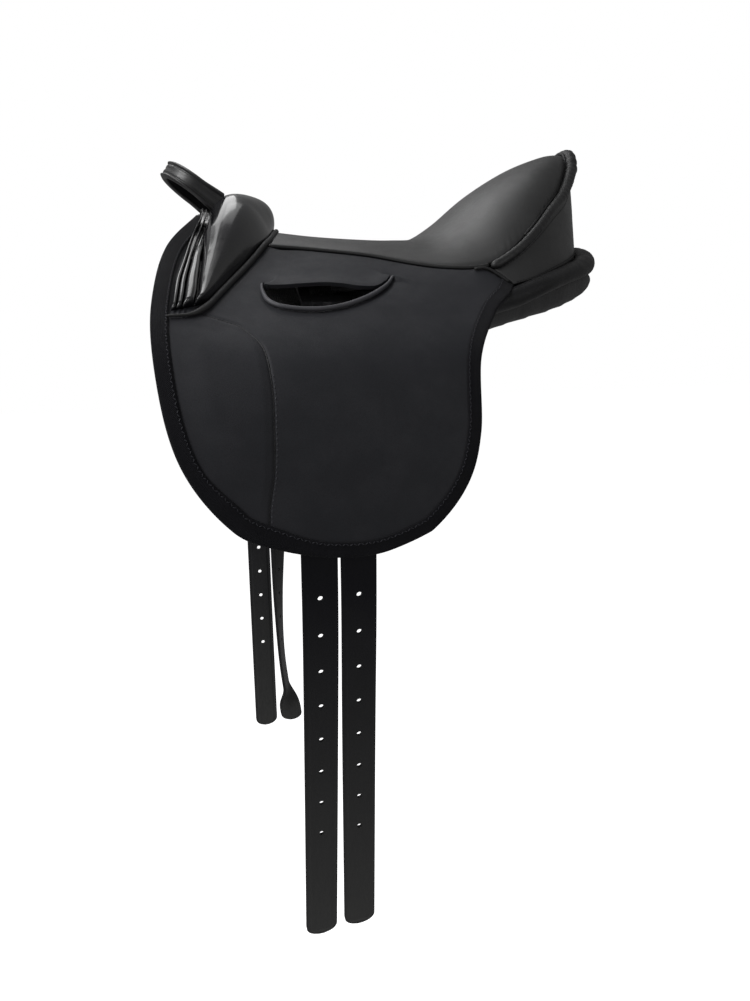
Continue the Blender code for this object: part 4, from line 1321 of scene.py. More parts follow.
def cloth_puff(piece: Piece, voxel: float, cap: float, pressure: float) -> Piece:
    """Swell a closed cushion by a short cloth simulation and apply the result.

    Args:
        piece: the closed cushion, a little smaller than the real one.
        voxel: size of the remeshed faces.
        cap: how far a point may move.
        pressure: pressure inside it.

    Returns:
        The piece.
    """
    remesh = piece.modifiers.new("Even faces", "REMESH")
    remesh.mode = "VOXEL"
    remesh.voxel_size = voxel
    even = piece.modifiers.new("Relaxed", "SMOOTH")
    even.factor, even.iterations = 0.5, 6
    settle(piece)
    start = np.array([v.co for v in piece.data.vertices])
    cloth = piece.modifiers.new("Cloth", "CLOTH")
    cloth.settings.use_pressure = True
    cloth.settings.uniform_pressure_force = pressure
    cloth.settings.effector_weights.gravity = 0.0
    cloth.settings.tension_stiffness = 25.0
    cloth.settings.bending_stiffness = 4.0
    cloth.point_cache.frame_start, cloth.point_cache.frame_end = 1, CLOTH_FRAMES
    for frame in range(1, CLOTH_FRAMES + 1):
        bpy.context.scene.frame_set(frame)
    settle(piece)
    move = np.array([v.co for v in piece.data.vertices]) - start
    far = np.linalg.norm(move, axis=1, keepdims=True)
    capped = start + move * (cap * np.tanh(far / cap) / np.maximum(far, 1e-9))
    for vert, spot in zip(piece.data.vertices, capped):
        vert.co = spot
    bpy.context.scene.frame_set(1)
    finer = piece.modifiers.new("Finer", "SUBSURF")
    finer.levels = finer.render_levels = 1
    return settle(piece, 80.0)


@dataclass
class Seat:
    """Padded seat on its tree, with the welt along each skirt."""

    width: float = 190 * MM
    length: float = 300 * MM
    depth: float = 13.0 * MM
    hem: float = 2.2 * MM
    welt_radius: float = 1.55 * MM
    welt_lead: float = 4.0 * MM
    pucker: float = 0.65 * MM
    pucker_pitch: float = 6.5 * MM
    pucker_shift: float = 17 * MM
    edge_dip: float = 0.8 * MM

    def top(self, u: Array, s: Array) -> Array:
        """Leather over the foam, with small cross puckers where the cantle's rim pulls it.

        Args:
            u: places across.
            s: places from front to rear.

        Returns:
            Array (n, 3).
        """
        from_edge, from_top = from_ends(u) * self.width, (1 - s) * self.length
        gap = np.minimum(from_edge, from_top)
        run = np.where(from_top < from_edge, u * self.width,
                       s * self.length + np.sign(u - 0.5) * self.pucker_shift)
        wave = np.sin(2 * pi * run / self.pucker_pitch + 1.3 * np.sin(run / (9 * MM)))
        near_rim = np.exp(-((gap - 3 * MM) / (4 * MM)) ** 2)
        lift = self.pucker * wave * near_rim * smooth_step(s, 0.50, 0.60)
        lift -= self.edge_dip * np.exp(-(gap / (1.8 * MM)) ** 2)
        return seat_surface(u, s) + seat_normals(u, s) * lift[:, None]

    def bottom(self, u: Array, s: Array) -> Array:
        """Underside of the foam, thin at the hem.

        Args:
            u: places across.
            s: places from front to rear.

        Returns:
            Array (n, 3).
        """
        full = rounded_border(u, s, 0.012, 0.008)
        deep = self.hem + (self.depth - self.hem) * rounded_border(u, s, 0.22, 0.12) ** 2
        return self.top(u, s) - seat_normals(u, s) * (deep * full)[:, None]

    def build(self) -> list[Piece]:
        """Make the seat and its welts.

        Returns:
            The pieces.
        """
        across, along = (0.6 * stops(count) + 0.4 * eased(count) for count in (90, 120))
        seat = body_with(self.top, self.bottom, "seat_pad", across, along,
                         (self.width, self.length))
        SEAT_LEATHER.dress(seat)
        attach(seat, "saddle")
        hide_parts("seat_cover", "seat_foam")
        made = [seat]
        for side in Side:
            share = stops(60, 0.004, RIM_START * SIDE_SHARE - 0.006)
            line = side.mirror(edge_line(share, WELT_RADIUS + GAP, COVER / 2) * (1, -1, 1))
            line = np.vstack([line[:1] - unit(line[1:2] - line[:1]) * self.welt_lead, line])
            welt = piping(f"{side.value}_welt", Line(line, 4), self.welt_radius)
            PIPING_LEATHER.dress(welt)
            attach(welt, "saddle")
            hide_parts(f"{side.value}_seat_welt")
            made.append(welt)
        return made


@dataclass
class Cantle:
    """Raised back of the seat: piped rim, leather gusset and the padded roll at its foot."""

    rim_full: float = 5.0 * MM
    rim_thin: float = 3.6 * MM
    rim_rise: float = 1.5 * MM
    cord_radius: float = 1.3 * MM
    roll_radius: float = 8.7 * MM
    roll_height: float = 0.82
    roll_tilt: float = radians(42)
    gusset_thickness: float = 2.0 * MM
    gusset_bow: float = 1.0 * MM
    length: float = 0.42
    seam: Seam = Seam(3.4 * MM, 2.4 * MM, 0.6 * MM)

    def rim_size(self, share: Array) -> Array:
        """The rim's radius as a share of its full size, by share of the rim's length."""
        thin = self.rim_thin / self.rim_full
        return thin + (1 - thin) * smooth_step(from_ends(share), 0.16, 0.42)

    def gusset(self, u: Array, v: Array) -> Array:
        """Back of the cantle.

        Args:
            u: from the near end to the far end.
            v: from the rim down.

        Returns:
            Array (n, 3).
        """
        start = RIM_START * SIDE_SHARE
        radius = self.rim_full * self.rim_size(u)
        tuck = 1.1 - 0.5 * smooth_step(from_ends(u), 0.30, 0.46)
        top = edge_line(start + (1 - 2 * start) * u, tuck * radius, COVER / 2 + radius + GAP)
        v = v[:, None]
        bow = outward(GUSSET_BASE.at, u) * (self.gusset_bow * 4 * v * (1 - v))
        return top * (1 - v) + GUSSET_BASE.at(u) * v + bow

    def roll_ring(self, u: Array) -> tuple[Array, Array, Array, Array]:
        """Sections of the roll.

        Args:
            u: places along the roll, from the near end.

        Returns:
            Their centres, level directions, radii and upright directions.
        """
        near_end = from_ends(u)
        radius = self.roll_radius * (0.88 + 0.12 * smooth_step(near_end, 0.0, 0.15)
                                     + 0.14 * smooth_step(near_end, 0.20, 0.36))
        height = self.roll_height * (1.22 - 0.22 * smooth_step(near_end, 0.06, 0.16)
                                     + 0.10 * smooth_step(near_end, 0.28, 0.42))
        away, up = outward(ROLL_BASE.at, u), np.outer(height, UP)
        reach = (radius + 2 * GAP)[:, None]
        centre = (ROLL_BASE.at(u) + away * reach * cos(self.roll_tilt)
                  - up * reach * sin(self.roll_tilt))
        return centre, away, radius, up

    def build(self) -> list[Piece]:
        """Make the rim, its inner cord, the gusset with its seams and the roll.

        Returns:
            The pieces.
        """
        start = (RIM_START - 0.008) * SIDE_SHARE
        share = stops(220, start, 1 - start)

        def size(s: Array) -> Array:
            """The rim's size with the faint waves of its gathered leather."""
            return self.rim_size(s) * (1 + 0.035 * np.sin(2 * pi * s * 62 + 2 * np.sin(37 * s)))

        place = (share - start) / (1 - 2 * start)
        high = smooth_step(from_ends(place), 0.30, 0.48)
        rise = self.rim_rise * high
        centre = edge_line(share, 0.85 * (self.rim_full * size(place)) + GAP,
                           1.4 * COVER - 0.9 * COVER * high - rise)
        rim = piping("cantle_rim", Line(centre, 3), self.rim_full, around=22, step=1.4 * MM,
                     fatness=size)
        RIM_LEATHER.dress(rim)
        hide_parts("cantle_rim_piping")
        inner = piping("cantle_inner_cord",
                       Line(edge_line(share, -0.8 * MM, -0.3 * MM - 0.8 * rise)[30:-30], 3),
                       self.cord_radius, around=12)
        PIPING_LEATHER.dress(inner)

        back = Grid.laid(self.gusset, stops(140), stops(36), (self.length, 0.07))
        back.face_towards((1, 0, 0))
        gusset = thicken(back.piece("gusset"), self.gusset_thickness, 0.4 * MM)
        SEAT_LEATHER.dress(gusset)
        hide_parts("cantle_gusset")

        end = round_end(6)
        u = np.concatenate([0.012 - 0.002 * np.cos(end), stops(230, 0.0125, 0.9875),
                            0.988 + 0.002 * np.sin(end)])
        centre, away, radius, up = self.roll_ring(u)
        cap = np.ones(len(u))
        cap[:6], cap[-6:] = np.sin(end), np.cos(end)
        turn = round_turn(28)
        wrinkle = (np.sin(u * 210 + 2.5 * np.sin(u * 31))[:, None]
                   * np.exp(-((turn - 1.1) / 0.9) ** 2)[None]
                   + 0.6 * np.sin(u * 330 + 1.5 * np.cos(u * 47))[:, None]
                   * np.exp(-((turn - 5.4) / 0.7) ** 2)[None])
        rear = smooth_step(from_ends(u), 0.12, 0.38)[:, None]
        reach = radius[:, None] * cap[:, None] * (1 + 0.018 * rear * wrinkle)
        rings = rings_round(centre, away, np.cos(turn) * reach, up, np.sin(turn) * reach)
        roll = ring_tube("cantle_roll_pad", rings, (2 * pi * self.roll_radius, self.length))
        ROLL_LEATHER.dress(roll)
        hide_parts("cantle_roll")

        made = [rim, inner, gusset, roll]
        for name, v in (("gusset_top_stitches", 0.10), ("gusset_foot_stitches", 0.93)):
            u = stops(300, 0.01, 0.99)
            depth = np.full(len(u), v)
            out = turned(normals_of(self.gusset, u, depth), outward(GUSSET_BASE.at, u))
            row = self.gusset(u, depth) + out * 0.2 * MM
            made.append(THREAD.dress(stitches(name, row, out, self.seam)))
        for piece in made:
            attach(piece, "saddle")
        return made


PANEL_STATIONS = (
    (-156, (60, -5), (134, -51), 6, 8), (-120, (38, -7), (146, -72), 8, 11),
    (-70, (29, -7), (151, -80), 10.3, 12), (-25, (28, -7), (149, -76), 10.3, 12),
    (20, (28, -6), (138, -56), 8, 12), (60, (27, -4), (120, -32), 6, 13),
    (100, (26, -2), (103, -21), 6, 14), (140, (25, 2.6), (86, -11.4), 5, 14.5),
    (175, (24, 6.7), (64, -1.3), 3, 14), (197, (27, 9.5), (48, 6.5), 1, 10))


@dataclass
class Panels:
    """Stuffed panels that rest on the pony, one on each side of the channel."""

    stations: tuple = PANEL_STATIONS
    full: float = 0.94
    swell: float = 2.0 * MM
    voxel: float = 5 * MM
    pressure: float = 4.0

    def half_sheet(self, u: Array, v: Array, way: float) -> Array:
        """One face of the panel before it is swollen.

        Args:
            u: from the inner to the outer edge.
            v: from front to rear.
            way: 1 for the upper face and -1 for the lower one.

        Returns:
            Array (n, 3).
        """
        inner, outer = (weave_rows(mm(*((s[0], *s[k]) for s in self.stations)), v)
                        for k in (1, 2))
        bow, half = (weave_rows(mm(*((s[k], 0, 0) for s in self.stations)), v)[:, 0]
                     for k in (3, 4))
        chord = outer - inner
        up = unit(np.stack([0 * u, -chord[:, 2], chord[:, 1]], axis=1))
        crown = bow * 4 * u * (1 - u)
        full = (np.sqrt(np.clip(1 - np.abs(2 * u - 1) ** 5, 0, 1))
                * np.sqrt(np.clip(1 - np.abs(2 * v - 1) ** 10, 0, 1)))
        lift = crown + way * half * full * self.full
        return inner + chord * u[:, None] + up * lift[:, None]

    def build(self) -> list[Piece]:
        """Make both panels, each swollen by its own simulation.

        Returns:
            The pieces.
        """
        made = []
        for side in Side:
            piece = body_with(lambda u, v: side.mirror(self.half_sheet(u, v, 1.0)),
                              lambda u, v: side.mirror(self.half_sheet(u, v, -1.0)),
                              f"{side.value}_panel_pad", eased(26), eased(60), (0.14, 0.36))
            cloth_puff(piece, self.voxel, self.swell, self.pressure)
            PANEL_LEATHER.dress(piece)
            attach(piece, "saddle")
            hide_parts(f"{side.value}_panel")
            made.append(piece)
        return made


@dataclass
class Pommel:
    """Lacquered bulb over the arch, the folds in front of it and its piped foot."""

    top_rise: float = 21.0 * MM
    foot_rise: float = 7.0 * MM
    piping_radius: float = 2.1 * MM
    valley_foot: tuple = (0.0, 0.2, 0.42, 0.62, 0.82, 1.0)
    valley_place: tuple = (0.90, 0.90, 0.82, 0.70, 0.54, 0.36)
    bulb_share: float = 0.6
    folds: tuple = (6.0 * MM, 3.8 * MM, 3.2 * MM)

    def places(self, u: Array, w: Array) -> tuple[Array, Array, Array, Array]:
        """Find where a point of the cover lies.

        Args:
            u: from near foot to far foot.
            w: from the rear piping to the front edge.

        Returns:
            How near the feet it is, how far over the bulb, how far over the folds, and its v.
        """
        foot = np.abs(2 * u - 1)
        valley = np.interp(foot, self.valley_foot, self.valley_place)
        p = np.clip(w / self.bulb_share, 0, 1)
        q = np.clip((w - self.bulb_share) / (1 - self.bulb_share), 0, 1)
        return foot, p, q, np.where(w <= self.bulb_share, valley * p, valley + (1 - valley) * q)

    def surface(self, u: Array, w: Array) -> Array:
        """Cover over bulb and folds.

        Args:
            u: from near foot to far foot.
            w: from the rear piping to the front edge.

        Returns:
            Array (n, 3).
        """
        foot, p, q, v = self.places(u, w)
        rise = self.top_rise + (self.foot_rise - self.top_rise) * smooth_step(foot, 0.15, 1.05)
        side = smooth_step(foot, 0.02, 0.22)
        lean = np.clip(p, 1e-6, 1.0) ** (0.8 + 0.5 * side)
        round_off = np.where(lean < 0.5, 0.6 + 0.15 * side, 0.6 - 0.08 * side)
        bulb = rise * (1 - np.abs(2 * lean - 1) ** (2.4 - 0.2 * side)) ** round_off

        def fold(centre: Array | float, half: float, height: Array | float) -> Array:
            """Height of one round fold."""
            return height * np.sqrt(np.clip(1 - ((q - centre) / half) ** 2, 0, 1))

        rear, middle, front = self.folds
        spread = smooth_step(foot, 0.30, 0.62)
        thick = 0.6 + 0.4 * smooth_step(foot, 0.1, 0.5)
        folds = thick * (fold(0.10 + 0.18 * spread, 0.26, rear * spread)
                         + fold(0.45 + 0.22 * spread, 0.12, middle) + fold(0.90, 0.10, front))
        end = np.sqrt(1 - np.clip((foot - 0.975) / 0.025, 0, 1) ** 2)
        tall = np.where(w <= self.bulb_share, bulb, folds) * end
        return pommel_base(u, v) + pommel_normals(u) * tall[:, None]

    def under(self, u: Array, w: Array) -> Array:
        """Underside of the padding."""
        return pommel_base(u, self.places(u, w)[3])

    def piping_line(self, side: Side) -> Array:
        """Centre line from the median down the bulb's rear and forward along the bottom seam.

        Args:
            side: the side that it runs down.

        Returns:
            Array (n, 3).
        """
        over = mm((-79.5, 0, 45), (-82.2, 15, 43.6), (-86, 30, 40.6), (-91, 46, 36.2))
        low = flap_beside(POMMEL_CORD, self.piping_radius * 0.7)[0]
        return side.mirror(np.concatenate([over, low]))

    def build(self) -> list[Piece]:
        """Make the cover and the piping round it.

        Returns:
            The pieces.
        """
        across = np.concatenate([self.bulb_share * eased(44), stops(64, self.bulb_share, 1.0)[1:]])
        along = 0.7 * stops(200) + 0.3 * eased(200)
        cover = body_with(lambda w, u: self.surface(u, w), lambda w, u: self.under(u, w),
                          "pommel", across, along, (0.08, 0.37))
        PATENT.dress(cover)
        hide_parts("pommel_cover", "pommel_foam", "pommel_front_piping")
        near, far = (self.piping_line(side) for side in Side)
        line = Line(np.concatenate([near[:0:-1], far]), 12)

        def fatness(share: Array) -> Array:
            """The cord's size, smaller towards its two ends."""
            return 0.45 + 0.55 * smooth_step(from_ends(share) * line.length, 8 * MM, 30 * MM)

        cord = piping("pommel_piping", line, self.piping_radius, around=18, step=1.6 * MM,
                      fatness=fatness)
        CORD_LEATHER.dress(cord)
        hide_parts("pommel_rear_piping")
        for piece in (cover, cord):
            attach(piece, "saddle")
        return [cover, cord]


@dataclass
class GrabHandle:
    """Padded strap that stands up in front of the pommel, with a corded edge on each side."""

    place: tuple = (-138.8 * MM, 0.0, 70.6 * MM)
    width: float = 13.5 * MM
    thickness: float = 6.0 * MM
    half_span: float = 33.5 * MM
    reach: float = 31.0 * MM
    root: float = 15.0 * MM
    pitch: float = radians(36)
    crown: float = 0.72
    flare: float = 0.22
    cord: float = 0.42
    groove: float = 0.26
    middle_line: float = 0.16
    blend_room: tuple = (-8 * MM, 3 * MM)

    def build(self) -> list[Piece]:
        """Make the strap and a dark sheet along its inner face that paints the shade inside the
        loop.

        Returns:
            The pieces.
        """
        ahead = np.array((-cos(self.pitch), 0, sin(self.pitch)))
        edge = np.array((sin(self.pitch), 0, cos(self.pitch)))
        bend = self.half_span
        straight = self.reach - bend * self.crown
        cap = round_end(7)
        run_in = np.concatenate([-self.root + 2 * MM * (1 - np.cos(cap)),
                                 stops(20, 2 * MM - self.root, straight)[1:-1]])
        arc, foot = stops(60, 0.0, pi), np.full(len(run_in), bend)
        y = np.concatenate([-foot, -bend * np.cos(arc), foot])
        r = np.concatenate([run_in, straight + bend * self.crown * np.sin(arc), run_in[::-1]])
        axis = np.array(self.place)
        centre = axis + np.outer(y, (0, 1, 0)) + np.outer(r, ahead)
        out = turned(unit(np.cross(np.gradient(centre, axis=0), edge)),
                     centre - (axis + ahead * straight))
        full = np.ones(len(r))
        full[:7], full[-7:] = np.sin(cap), np.sin(cap)[::-1]
        breadth = self.width / 2 * full * (1 + self.flare * smooth_step(-r, -straight, self.root))
        turn = round_turn(72)
        w = np.sign(np.cos(turn)) * np.abs(np.cos(turn)) ** 0.6
        body = np.sign(np.sin(turn)) * np.abs(np.sin(turn)) ** 0.55
        cords = self.cord * np.exp(-((np.abs(w) - 0.80) / 0.12) ** 2)
        grooves = self.groove * np.exp(-((np.abs(w) - 0.55) / 0.07) ** 2)
        line = self.middle_line * np.exp(-(w / 0.05) ** 2)
        shape = body * (0.70 + cords - grooves - line)
        thin = self.thickness / 2 * np.maximum(full, 0.02)
        rings = rings_round(centre, edge, w * breadth[:, None], out, shape * thin[:, None])
        strap = ring_tube("grab_handle", rings, (0.04, 0.14))
        HANDLE_LEATHER.dress(strap)
        # Painted shade: a thin near-black sheet just inside the strap's inner face, for the shade
        # in the loop.
        turn = round_turn(16)
        rings = rings_round(centre - out * (0.70 * thin + 0.15 * MM)[:, None],
                            edge, np.cos(turn) * 0.62 * breadth[:, None],
                            out, np.sin(turn) * 0.35 * MM * full[:, None])
        shade_sheet = ring_tube("handle_shade_sheet", rings[6:-6], (0.02, 0.13))
        HANDLE_PAINTED_SHADE.dress(shade_sheet)
        start, end = (axis + ahead * r for r in self.blend_room)
        for piece in (strap, shade_sheet):
            tuple(start)
            tuple(end)
            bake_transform(piece)
        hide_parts("handle_strap")
        return [strap, shade_sheet]


@dataclass
class Flap:
    """One skirt and flap: a single leather sheet with its slot, bound edge and seams."""

    side: Side
    tape_width: float = 10.0 * MM
    tape_thickness: float = 1.0 * MM
    lip_radius: float = 1.7 * MM
    cord_radius: float = 1.2 * MM
    knee_radius: float = 0.5 * MM
    fold_room: float = 12 * MM
    rib_pitch: float = 3.4 * MM
    rib_rise: float = 0.35 * MM
    pad_rise: float = 1.0 * MM
    seam_depth: float = 0.9 * MM
    slot_swell: float = 1.7 * MM
    slot_dip: float = 0.8 * MM
    binding_seam: Seam = Seam(2.6 * MM, 2.4 * MM, 0.6 * MM, 0.6)
    knee_seam: Seam = Seam(3.6 * MM, 1.9 * MM, 0.8 * MM)

    def face(self, u: Array, v: Array) -> Array:
        """Outer face with the padding ahead of the knee seam and the swell round the slot.

        Args:
            u: from front to rear.
            v: from the top to the foot.

        Returns:
            Array (n, 3).
        """
        point, normal = flap_surface(u, v), flap_normals(u, v)
        seam = Line(KNEE_SEAM).at(stops(240))
        gap = distance_to(point, seam)
        rim = flap_surface(*self.border(stops(240, 0.2, 2.0)))
        ahead = np.interp(-point[:, 2], -seam[:, 2], seam[:, 0]) - point[:, 0]
        pad = smooth_step(ahead, 0.0, 7 * MM) * smooth_step(-point[:, 2], 20 * MM, 40 * MM)
        pad = pad * smooth_step(distance_to(point, rim), 14 * MM, 32 * MM)
        lift = self.pad_rise * pad - self.seam_depth * np.exp(-(gap / (1.0 * MM)) ** 2)
        flat = point * (1, 1, 0)
        upper = distance_to(flat, SLOT_UPPER.at(stops(60)))
        lower = distance_to(flat, SLOT_LOWER.at(stops(60)))
        lift += self.slot_swell * np.exp(-(upper / (9 * MM)) ** 2) * (upper < lower)
        lift -= self.slot_dip * np.exp(-(lower / (6 * MM)) ** 2) * (lower <= upper)
        from_front = u * FLAP_LINES[2].length
        strip = (smooth_step(from_front, 10.5 * MM, 12 * MM) * smooth_step(v, 0.385, 0.365)
                 * smooth_step(from_front, 24 * MM, 22 * MM))
        lift += self.rib_rise * strip * np.cos(2 * pi * from_front / self.rib_pitch)
        return point + normal * lift[:, None]

    def border(self, place: Array) -> tuple[Array, Array]:
        """Walk round the free edge.

        Args:
            place: 0 at the front top, 1 and 2 at the lower corners and 3 at the rear top.

        Returns:
            Arrays u and v.
        """
        u = np.clip(place - 1, 0.0, 1.0)
        v = np.where(place <= 1, place, np.where(place <= 2, 1.0, 3 - place))
        return u, np.clip(v, 0.0, 1.0)

    def border_run(self) -> tuple[Array, Array, Array]:
        """Walk evenly round the free edge.

        Returns:
            Arrays of points, normals, and inward ways whose length is the tape's width there as a
            share; it lies wider round the lower front.
        """
        dense = stops(900, 0.012, 2.988)
        run = run_of(flap_surface(*self.border(dense)))
        place = np.interp(stops(420) * run[-1], run, dense)
        u, v = self.border(place)
        point, normal = flap_surface(u, v), flap_normals(np.clip(u, 0.01, 0.99),
                                                         np.clip(v, 0.01, 0.99))
        middle = flap_surface(np.array([0.5]), np.array([0.55]))
        inward = turned(unit(np.cross(normal, np.gradient(point, axis=0))), middle - point)
        wide = smooth_step(place, 0.80, 0.98) * smooth_step(place, 1.45, 1.10)
        return point, normal, inward * (1 + 0.40 * wide)[:, None]

    def cut_slot(self, sheet: Piece) -> None:
        """Cut the stirrup slot through the sheet.

        Args:
            sheet: the flap's sheet.
        """
        def opening(b: Array, a: Array) -> Array:
            """A sheet over the slot; b runs from its lower to its upper edge, a along it."""
            a = 0.012 + 0.976 * a
            flat = SLOT_LOWER.at(a) * (1 - b[:, None]) + SLOT_UPPER.at(a) * b[:, None]
            return self.side.mirror(flap_above(flat, 12 * MM))

        grid = Grid.laid(opening, stops(4), stops(48))
        grid.face_towards((0, self.side.sign, 1))
        carve(sheet, thicken(grid.piece("slot_cutter"), 24 * MM), 45)

    def bend(self, piece: Piece) -> Piece:
        """Bake the transform of a piece that crosses the fold; the fold's two ends are worked out
        but not used.

        Args:
            piece: the piece.

        Returns:
            The piece.
        """
        at = np.array([0.5, 0.5]), np.array([FLAP_FOLD, FLAP_FOLD + 0.02])
        here, below = flap_surface(*at)
        down = unit(below - here) * self.fold_room
        start, end = (self.side.mirror(p[None])[0] for p in (here - down, here + down))
        tuple(start)
        tuple(end)
        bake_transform(piece)
        return piece

    def tape(self) -> Piece:
        """Woven binding folded round the free edge.

        Returns:
            The tape.
        """
        point, normal, inward = self.border_run()
        back, thick, hem, close = -FLAP_THICKNESS, self.tape_thickness, 0.15 * MM, 0.08 * MM

        def row(share: float, lift: float) -> Array:
            """Points at a share of the tape's width from the edge, lift over the flap's face."""
            near, out = flap_beside(point + inward * share * self.tape_width, 0.0)
            return near + out * lift

        over = ((1.0, hem), (0.99, 0.8 * thick), (0.75, thick), (0.5, thick), (0.25, thick))
        under = ((0.25, back - thick), (0.5, back - thick), (0.75, back - thick),
                 (0.99, back - thick), (1.0, back - hem), (1.0, back - close),
                 (0.3, back - close), (0.04, back - close), (0.04, close), (0.3, close))
        edge = [point + unit(inward) * (0.3 * MM - thick * sin(turn) * 1.4)
                + normal * (cos(turn) * (thick - back / 2) + back / 2)
                for turn in np.linspace(0, pi, 9)]
        rows = [*(row(*spot) for spot in over), *edge, *(row(*spot) for spot in under)]
        rings = self.side.mirror(np.stack(rows, axis=1))
        return BINDING_TAPE.dress(ring_tube(f"{self.side.value}_binding_tape", rings,
                                            (0.045, float(run_of(point)[-1]))))

    def seam_rows(self) -> list[Piece]:
        """Sew the binding and the knee seam.

        Returns:
            The pieces.
        """
        point, _, inward = self.border_run()
        bound = flap_beside(point + inward * 0.84 * self.tape_width,
                            self.tape_thickness + 0.1 * MM)
        knee = Line(KNEE_SEAM)
        beside = flap_beside(knee.at(stops(200, 0.42, 0.99)) + mm((1.5, 0, 0)), 0.12 * MM,
                             self.face)
        made = []
        for name, finish, (line, out), seam in (
                ("binding_stitches", TAPE_THREAD, bound, self.binding_seam),
                ("knee_stitches", KNEE_THREAD, beside, self.knee_seam)):
            made.append(finish.dress(stitches(f"{self.side.value}_{name}", self.side.mirror(line),
                                              self.side.mirror(out), seam)))
        sunk = self.side.mirror(flap_beside(knee.at(stops(160, 0.02, 1.0)), 0.0, self.face)[0])
        made.append(THREAD.dress(piping(f"{self.side.value}_knee_seam", Line(sunk, 3),
                                        self.knee_radius, (0, self.side.sign, 0.3), around=8)))
        return made

    def build(self) -> list[Piece]:
        """Make the flap, its tape, its seams, the slot's lip and the skirt's piping.

        Returns:
            The pieces.
        """
        name = self.side.value
        across = np.concatenate([stops(60, 0.0, 0.13), stops(66, 0.13, 0.35)[1:],
                                 stops(88, 0.35, 1.0)[1:]])
        grid = Grid.laid(lambda u, v: self.side.mirror(self.face(u, v)), across, stops(190),
                         (0.22, 0.26))
        grid.face_towards((0, self.side.sign, 0.2))
        sheet = thicken(grid.piece(f"{name}_flap_leather"), FLAP_THICKNESS)
        self.cut_slot(sheet)
        FLAP_LEATHER.dress(sheet)
        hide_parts(f"{name}_flap", f"{name}_flap_upper")
        tape = self.tape()
        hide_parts(f"{name}_flap_binding", f"{name}_flap_binding_front",
                    f"{name}_flap_binding_rear")
        bending = [sheet, tape, *self.seam_rows()]
        for piece in bending:
            self.bend(piece)

        path = SLOT_LOWER.at(stops(80, 0.02, 1.0))
        ahead = unit(np.gradient(path, axis=0))
        beside = np.stack([-ahead[:, 1], ahead[:, 0], 0 * ahead[:, 0]], axis=1) * MM
        lip_line = flap_above(path + beside, self.lip_radius * 0.75)
        lip = piping(f"{name}_slot_roll", Line(self.side.mirror(lip_line), 3), self.lip_radius,
                     (0, self.side.sign * 0.5, 1.0), step=1.2 * MM,
                     fatness=lambda s: 0.6 + 0.4 * smooth_step(from_ends(s), 0.0, 0.2))
        # The lip wears the flap's leather with painted light, lighter than the sheet.
        LIT_SLOT_LEATHER.dress(lip)
        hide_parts(f"{name}_slot_lip")
        u = stops(22, 0.87, 0.985)
        v = np.full(len(u), 0.022)
        corner = flap_surface(u, v) + flap_normals(u, v) * 1.6 * MM
        skirt = piping(f"{name}_skirt_cord", Line(self.side.mirror(corner), 3),
                       self.cord_radius, (0, self.side.sign, 0.3))
        PIPING_LEATHER.dress(skirt)
        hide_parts(f"{name}_skirt_piping")
        for piece in (lip, skirt):
            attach(piece, "saddle")
        return bending + [lip, skirt]


BILLET_ROUTE = {
    Side.NEAR: ((172, -57.6), (181, -90), (187, -130), (190, -180), (191, -230), (189, -300),
                (185, -400), (180, -515)),
    Side.FAR: ((172, -57.6), (177, -90), (177, -130), (173, -180), (168, -230), (158, -300),
               (143, -400), (124, -515))}


